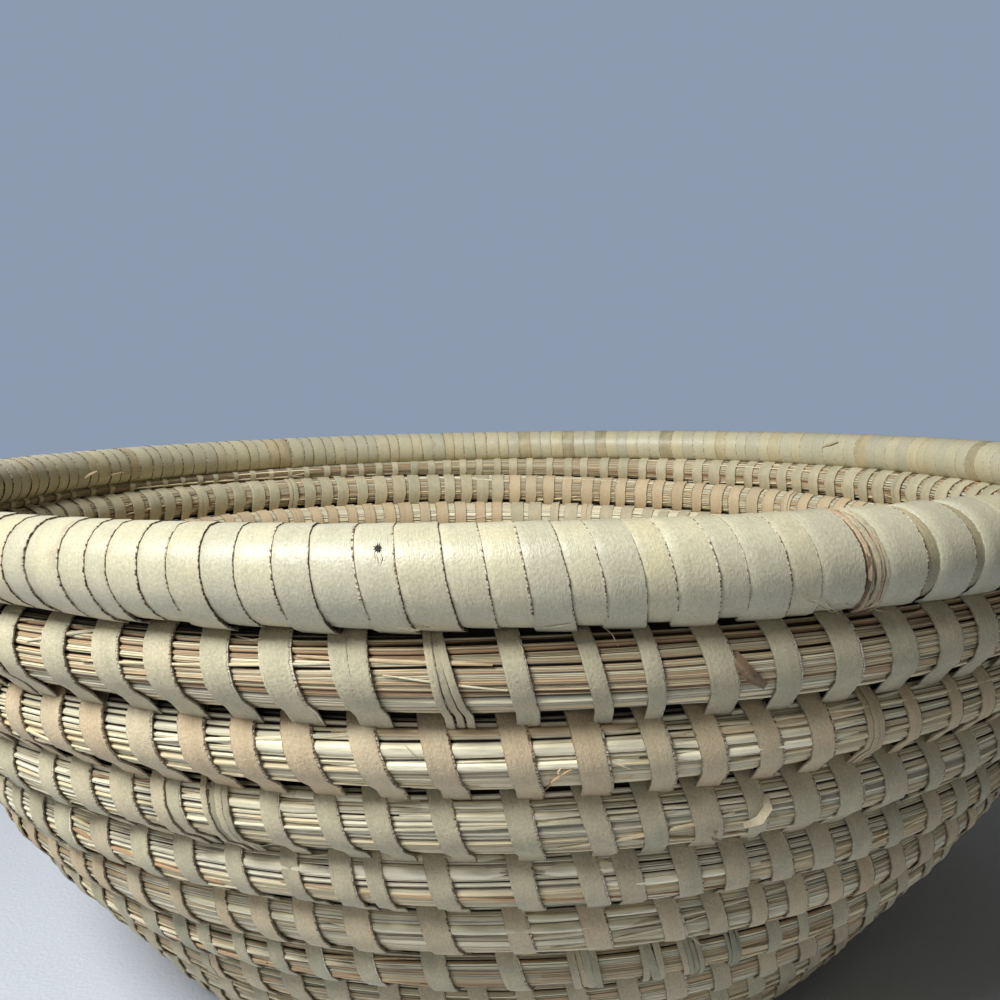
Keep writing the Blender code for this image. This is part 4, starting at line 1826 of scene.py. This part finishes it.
class ThreadKey(Enum):
    """First colour key of each kind of thread; every thread of a kind has the next one."""

    LOOSE = 100
    THICK = 3000
    FIBRE = 5000


@dataclass(frozen=True)
class Thread:
    """A thin stem or fibre: its points, thickness, colour key and warmth."""

    points: Sequence[Vector]
    radius: float
    stem: int
    warmth: float


@dataclass
class LooseStems:
    """Single stems that wander over the bundles under the stitches, and stray fibres."""

    bowl: BowlShape
    count: int = 950
    lift: float = -0.00005
    step: float = 0.007
    drift: float = radians(38)
    taper: float = 0.55
    thick_proud: float = 0.0003
    lowest: float = 0.0002
    seed: int = 23

    @staticmethod
    def tree() -> GeometryTree:
        """Builds the tree that gives each line its thickness.

        Returns:
            The tree, whose geometry is the lines with the attribute thickness.
        """
        tree = GeometryTree("threads")
        sides, material = tree.takes(Sides="Int", Material="Material")
        line = tree.shape("MeshToCurve", {"Mesh": tree.geometry})
        profile = tree.shape("CurvePrimitiveCircle", {"Resolution": sides, "Radius": 1.0})
        profile = tree.store(profile, {"stem_side": tree.out("GeometryNodeSplineParameter")})
        inputs = {"Curve": line, "Profile Curve": profile, "Scale": tree.number("thickness")}
        made = tree.shape("CurveToMesh", {**inputs, "Fill Caps": True})
        tree.end(tree.shape("SetShadeSmooth", {"Geometry": made}), material)
        return tree

    def build(self, name: str, threads: Sequence[Thread], material: Material, sides: int = 6) -> Object:
        """Makes threads as one object.

        Args:
            name: The piece's name.
            threads: The threads.
            material: Their finish.
            sides: How many sides each has.

        Returns:
            The piece.
        """
        points, edges = [], []
        names = ("thickness", "stem", "run", "groove", "warmth", "fineness")
        numbers: dict[str, list[float]] = {name: [] for name in names}
        for thread in threads:
            run = 0.0
            for at, point in enumerate(thread.points):
                if at:
                    edges.append((len(points) - 1, len(points)))
                    run += (point - thread.points[at - 1]).length
                taper = self.taper if at in (0, len(thread.points) - 1) else 1.0
                row = (thread.radius * taper, thread.stem, run, 0.0, thread.warmth, 0.0)
                for values, value in zip(numbers.values(), row):
                    values.append(value)
                points.append(point)
        mesh = bpy.data.meshes.new(name)
        mesh.from_pydata(points, edges, [])
        write_attributes(mesh, numbers)
        return self.tree().apply(show(name, mesh), {"Sides": sides, "Material": material})

    def over_bundles(self) -> list[Thread]:
        """Draws stems that lie on the bundles of the wall and floor.

        Returns:
            The stems.
        """
        draw = random.Random(self.seed)
        threads = []
        for number in range(self.count):
            turn = draw.uniform(self.bowl.first_turn * 0.75, self.bowl.last_turn_share - 0.3)
            length = draw.choice((draw.uniform(0.012, 0.03), draw.uniform(0.03, 0.09)))
            angle = draw.uniform(-1.1, 1.0) + (0.0 if draw.random() < 0.65 else pi)
            drift = draw.uniform(-self.drift, self.drift)
            radius = draw.uniform(0.00014, 0.00032)
            bow = draw.uniform(0.0, 0.00015)
            steps = max(3, round(length / self.step))
            around = tau * hypot(*self.bowl.seat(turn).point.xy)
            points = []
            for step in range(steps + 1):
                share = step / steps
                seat = self.bowl.seat(turn + share * length / around)
                point = seat.skin(angle + drift * share, self.lift + sin(share * pi) * bow)
                point.z = max(point.z, self.lowest + radius)
                points.append(point)
            warmth = draw.choice((0.0, 0.1, 0.5, 0.8))
            threads.append(Thread(points, radius, ThreadKey.LOOSE.value + number, warmth))
        return threads

    def thick_stems(self, view: Viewpoint, details: "HandDetails") -> list[Thread]:
        """Draws the thick stems of the photographed side, each at one angle round its row.

        Args:
            view: The photographed view.
            details: Finds the point of the basket that shows in a pixel.

        Returns:
            The stems.
        """
        def outer(turn: float) -> Vector:
            """Outermost point of the bundle."""
            return self.bowl.seat(turn).skin(0.0)

        threads = []
        for number, (row, ends, (column, height), thickness, warmth) in enumerate(FRONT_STEMS):
            radius = thickness * MM
            seat = self.bowl.seat(view.turn_at(column, outer, -row))
            seen = details.on_surface(column, height) - seat.point
            up, out = seen.dot(seat.upward) / seat.half_height, seen.dot(seat.outward) / seat.half_depth
            angle = atan2(up, out)
            start, end = (view.turn_at(end, outer, -row) for end in ends)
            steps = max(3, round((end - start) * tau * self.bowl.rim_radius / self.step))
            lift = self.thick_proud - radius
            points = []
            for step in range(steps + 1):
                share = step / steps
                sunk = radius * 0.8 if step in (0, steps) else 0.0
                points.append(self.bowl.seat(start + (end - start) * share).skin(angle, lift - sunk))
            threads.append(Thread(points, radius, ThreadKey.THICK.value + number, warmth))
        return threads


@dataclass
class HandDetails:
    """Marks of use and of hand work that the photographed side shows, each on what carries it."""

    view: Viewpoint
    carriers: Sequence[Object]
    scrap_thickness: float = 0.00018
    scrap_end: float = 0.3
    hole_corners: int = 22
    hole_proud: tuple[float, float] = (0.00004, 0.00005)
    hole_notches: tuple[float, float] = (2.6, 4.2)
    hole_points: tuple[float, float] = (4.5, 7.5)
    seed: int = 41

    @cached_property
    def tree(self) -> BVHTree:
        """The surfaces that carry the details.

        Returns:
            Their tree for rays.
        """
        verts, faces = [], []
        for piece in self.carriers:
            first = len(verts)
            verts += [vert.co for vert in piece.data.vertices]
            faces += [[first + at for at in face.vertices] for face in piece.data.polygons]
        return BVHTree.FromPolygons(verts, faces)

    def on_surface(self, column: float, row: float, lift: float = 0.0) -> Vector:
        """Point seen in a pixel of the photographed view, raised towards the eye.

        Args:
            column: Pixel column.
            row: Pixel row.
            lift: How far it is raised.

        Returns:
            The point.
        """
        eye, ray = self.view.ray(column, row)
        hit = self.tree.ray_cast(eye, ray)[0]
        return hit - ray * lift

    def fibres(self) -> list[Thread]:
        """Stray fibres and a twig, from pixel to pixel.

        Returns:
            The fibres.
        """
        made = []
        for number, (radius, lift, warmth, *pixels) in enumerate(FRONT_FIBRES):
            last = len(pixels) - 1
            points = []
            for at, (column, row) in enumerate(pixels):
                rise = lift * sin(pi * (0.15 + 0.85 * at / last)) + radius
                points.append(self.on_surface(column, row, rise))
            made.append(Thread(points, radius, ThreadKey.FIBRE.value + number, warmth))
        return made

    def scrap(
        self, maker: BMesh, pixels: Sequence[tuple[float, float, float]], width: float, tone: float
    ) -> None:
        """Adds a torn end of leaf along a line of pixels.

        Args:
            maker: The mesh that takes it.
            pixels: Column, row and lift in millimetres of each point along it.
            width: Its width.
            tone: Its tone from sage to brown.
        """
        uv, shade = maker.loops.layers.uv["UVMap"], maker.verts.layers.float["tone"]
        eye = Vector(self.view.place)
        points = [self.on_surface(column, row, lift * MM) for column, row, lift in pixels]
        rings = []
        for at, point in enumerate(points):
            ahead = (points[min(at + 1, len(points) - 1)] - points[max(at - 1, 0)]).normalized()
            facing = (eye - point).normalized()
            across = ahead.cross(facing).normalized() * width / 2
            across *= self.scrap_end + (1 - self.scrap_end) * sin(pi * (at + 0.5) / len(points))
            thick = facing * self.scrap_thickness
            corners = (point - across, point - across + thick, point + across + thick * 2, point + across)
            rings.append([maker.verts.new(corner) for corner in corners])
            for vert in rings[-1]:
                vert[shade] = tone
        for at, (ring, following) in enumerate(zip(rings, rings[1:])):
            for face in add_quads(maker, ring, following):
                for loop in face.loops:
                    ahead = loop.vert in following
                    side = (following if ahead else ring).index(loop.vert)
                    loop[uv].uv = (0.25 + 0.5 * (side > 1), (at + ahead) * MM)
        maker.faces.new(rings[0])
        maker.faces.new(list(reversed(rings[-1])))

    def build_scraps(self, material: Material) -> Object:
        """Makes the torn and folded ends of leaf as one object.

        Args:
            material: Their finish.

        Returns:
            The piece.
        """
        maker = bmesh.new()
        maker.loops.layers.uv.new("UVMap")
        maker.verts.layers.float.new("tone")
        for width, tone, *pixels in FRONT_SCRAPS:
            self.scrap(maker, pixels, width * MM, tone)
        bmesh.ops.recalc_face_normals(maker, faces=maker.faces)
        mesh = as_mesh(maker, "leaf_scraps", material)
        mesh.shade_smooth()
        mesh.set_sharp_from_angle(angle=radians(55))
        return show("leaf_scraps", mesh)

    def build_hole(self, material: Material) -> Object:
        """Makes the insect hole in the rim's leaf as a ragged sheet a little proud of it, nearly black with
        painted shade.

        Args:
            material: Its finish.

        Returns:
            The piece.
        """
        draw = random.Random(self.seed)
        maker = bmesh.new()
        column, row = INSECT_HOLE
        middle = maker.verts.new(self.on_surface(column, row, self.hole_proud[0]))
        ring = []
        for step in range(self.hole_corners):
            angle = tau * step / self.hole_corners
            reach = draw.uniform(*(self.hole_notches if step % 2 else self.hole_points))
            place = (column + reach * cos(angle) * 0.8, row + reach * sin(angle) * 0.9)
            ring.append(maker.verts.new(self.on_surface(*place, self.hole_proud[1])))
        for at, vert in enumerate(ring):
            maker.faces.new((middle, ring[(at + 1) % self.hole_corners], vert))
        return show("insect_hole", as_mesh(maker, "insect_hole", material))


@dataclass(frozen=True)
class Lamp:
    """Square soft lamp: where it hangs, how wide it is, and its power in watts."""

    name: str
    place: tuple[float, float, float]
    size: float
    power: float


@dataclass
class Studio:
    """Plain pale floor, soft lamps and an even world."""

    floor_size: float = 6.0
    floor_color: Color = (0.54, 0.57, 0.63)
    backdrop_color: Color = (0.265, 0.325, 0.43)
    lamp_color: Color = (0.96, 0.98, 1.0)
    sky_color: Color = (1.0, 0.97, 0.91)
    sky_strength: float = 0.085
    horizon: tuple[float, float] = (0.4, 1.5)
    grains_a_metre: float = 900.0
    grain_height: float = 0.0002
    aim: tuple[float, float, float] = (0.0, 0.0, 0.06)
    lamps: Sequence[Lamp] = (
        Lamp("key", (-0.28, -0.36, 0.55), 0.22, 5.5),
        Lamp("fill", (-0.40, -1.0, 0.35), 0.7, 0.25),
        Lamp("back", (-0.5, 1.2, 0.5), 1.2, 2.2),
    )

    def build(self) -> None:
        """Sets the floor, the lamps and the world."""
        self.make_floor()
        for lamp in self.lamps:
            self.make_lamp(lamp)
        self.make_world()
        bpy.context.scene.view_settings.view_transform = "Standard"

    def make_world(self) -> None:
        """Adds the even light from all round, and the pale backdrop that only the camera sees."""
        world = bpy.data.worlds.new("world")
        bpy.context.scene.world = world
        world.use_nodes = True
        maker = TreeMaker(world.node_tree)
        seen = Value(maker, maker.node("ShaderNodeLightPath").outputs["Is Camera Ray"])
        background = world.node_tree.nodes["Background"]
        maker.feed(background.inputs["Color"], maker.mixed(seen, self.sky_color, self.backdrop_color))
        maker.feed(background.inputs["Strength"], self.sky_strength + seen * (1.0 - self.sky_strength))

    def make_floor(self) -> None:
        """Adds the floor with a faint cloth-like grain, which fades into the backdrop for the camera."""
        material = bpy.data.materials.new("floor")
        material.use_nodes = True
        nodes = TreeMaker(material.node_tree)
        shader = material.node_tree.nodes["Principled BSDF"]
        shader.inputs["Base Color"].default_value = (*self.floor_color, 1)
        shader.inputs["Roughness"].default_value = 0.9
        place = nodes.place()
        grain = nodes.noise(place, self.grains_a_metre, 2.0)
        bump = nodes.node("ShaderNodeBump", None, {"Distance": self.grain_height, "Height": grain})
        nodes.feed(shader.inputs["Normal"], bump.outputs[0])
        x, y, _ = place.parts()
        away = nodes.between(nodes.math("SQRT", x * x + y * y), *self.horizon)
        seen = Value(nodes, nodes.node("ShaderNodeLightPath").outputs["Is Camera Ray"])
        backdrop = nodes.node("ShaderNodeEmission", None, {"Color": (*self.backdrop_color, 1)})
        inputs = {0: away * seen, 1: shader.outputs[0], 2: backdrop.outputs[0]}
        faded = nodes.node("ShaderNodeMixShader", None, inputs)
        nodes.feed(material.node_tree.nodes["Material Output"].inputs["Surface"], faded.outputs[0])
        maker = bmesh.new()
        bmesh.ops.create_grid(maker, x_segments=2, y_segments=2, size=self.floor_size)
        show("floor", as_mesh(maker, "floor", material))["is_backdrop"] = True

    def make_lamp(self, lamp: Lamp) -> None:
        """Adds a lamp that faces the basket.

        Args:
            lamp: The lamp.
        """
        data = bpy.data.lights.new(lamp.name, "AREA")
        data.color = self.lamp_color
        data.size = lamp.size
        data.energy = lamp.power
        hung = bpy.data.objects.new(lamp.name, data)
        hung.location = lamp.place
        hung.rotation_euler = (Vector(self.aim) - Vector(lamp.place)).to_track_quat("-Z", "Y").to_euler()
        bpy.context.scene.collection.objects.link(hung)


def main() -> None:
    """Builds the basket from its floor to its rim, and the studio around it."""
    logging.basicConfig(level=logging.INFO, format="%(message)s")
    bowl, view = BowlShape.from_frame(), Viewpoint()
    stems, row_leaf, rim_leaf = STEMS.material(), ROW_LEAF.material(), RIM_LEAF.material()

    foundation = Foundation(bowl)
    stitches = RowStitches(bowl, view)
    wall = bowl.last_turn_share - bowl.corner_turn
    ends = [bowl.corner_turn + wall * share for share in WALL_PARTS.values()]
    marks = [bowl.first_turn, bowl.corner_turn, *ends]
    names = ("floor", *WALL_PARTS)
    run = 0.0
    carriers = []
    for name, start, end in zip(names, marks, marks[1:]):
        seats = bowl.walk(start, end + foundation.overlap_turns, foundation.step, run)
        run = seats[-1].run
        node = "floor_coil" if name == "floor" else "wall_coil"
        bundle = foundation.build(f"{name}_stems", seats, stems, 1)
        carriers.append(finish_piece(bundle, Slot.GRASS, [node]))
        strips = stitches.build(f"{name}_stitches", start, end, row_leaf)
        carriers.append(finish_piece(strips, Slot.LEAF))
    StartKnot(bowl).build(row_leaf)
    carriers.append(WoundRim(bowl, view).build(rim_leaf, row_leaf, stems))

    details = HandDetails(view, carriers[2:])
    loose = LooseStems(bowl)
    finish_piece(loose.build("loose_stems", loose.over_bundles(), stems), Slot.GRASS)
    finish_piece(loose.build("thick_stems", loose.thick_stems(view, details), stems, 12), Slot.GRASS)
    finish_piece(loose.build("stray_fibres", details.fibres(), stems), Slot.GRASS)
    finish_piece(details.build_scraps(row_leaf), Slot.LEAF)
    finish_piece(details.build_hole(HoleFinish().material()), Slot.LEAF)

    view.make_camera()
    Studio().build()
    sizes = {"cad": CAD_BOUNDS, "visual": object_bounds()}
    {name: [list(corner) for corner in box] for name, box in sizes.items()}


if __name__ == "__main__":
    main()
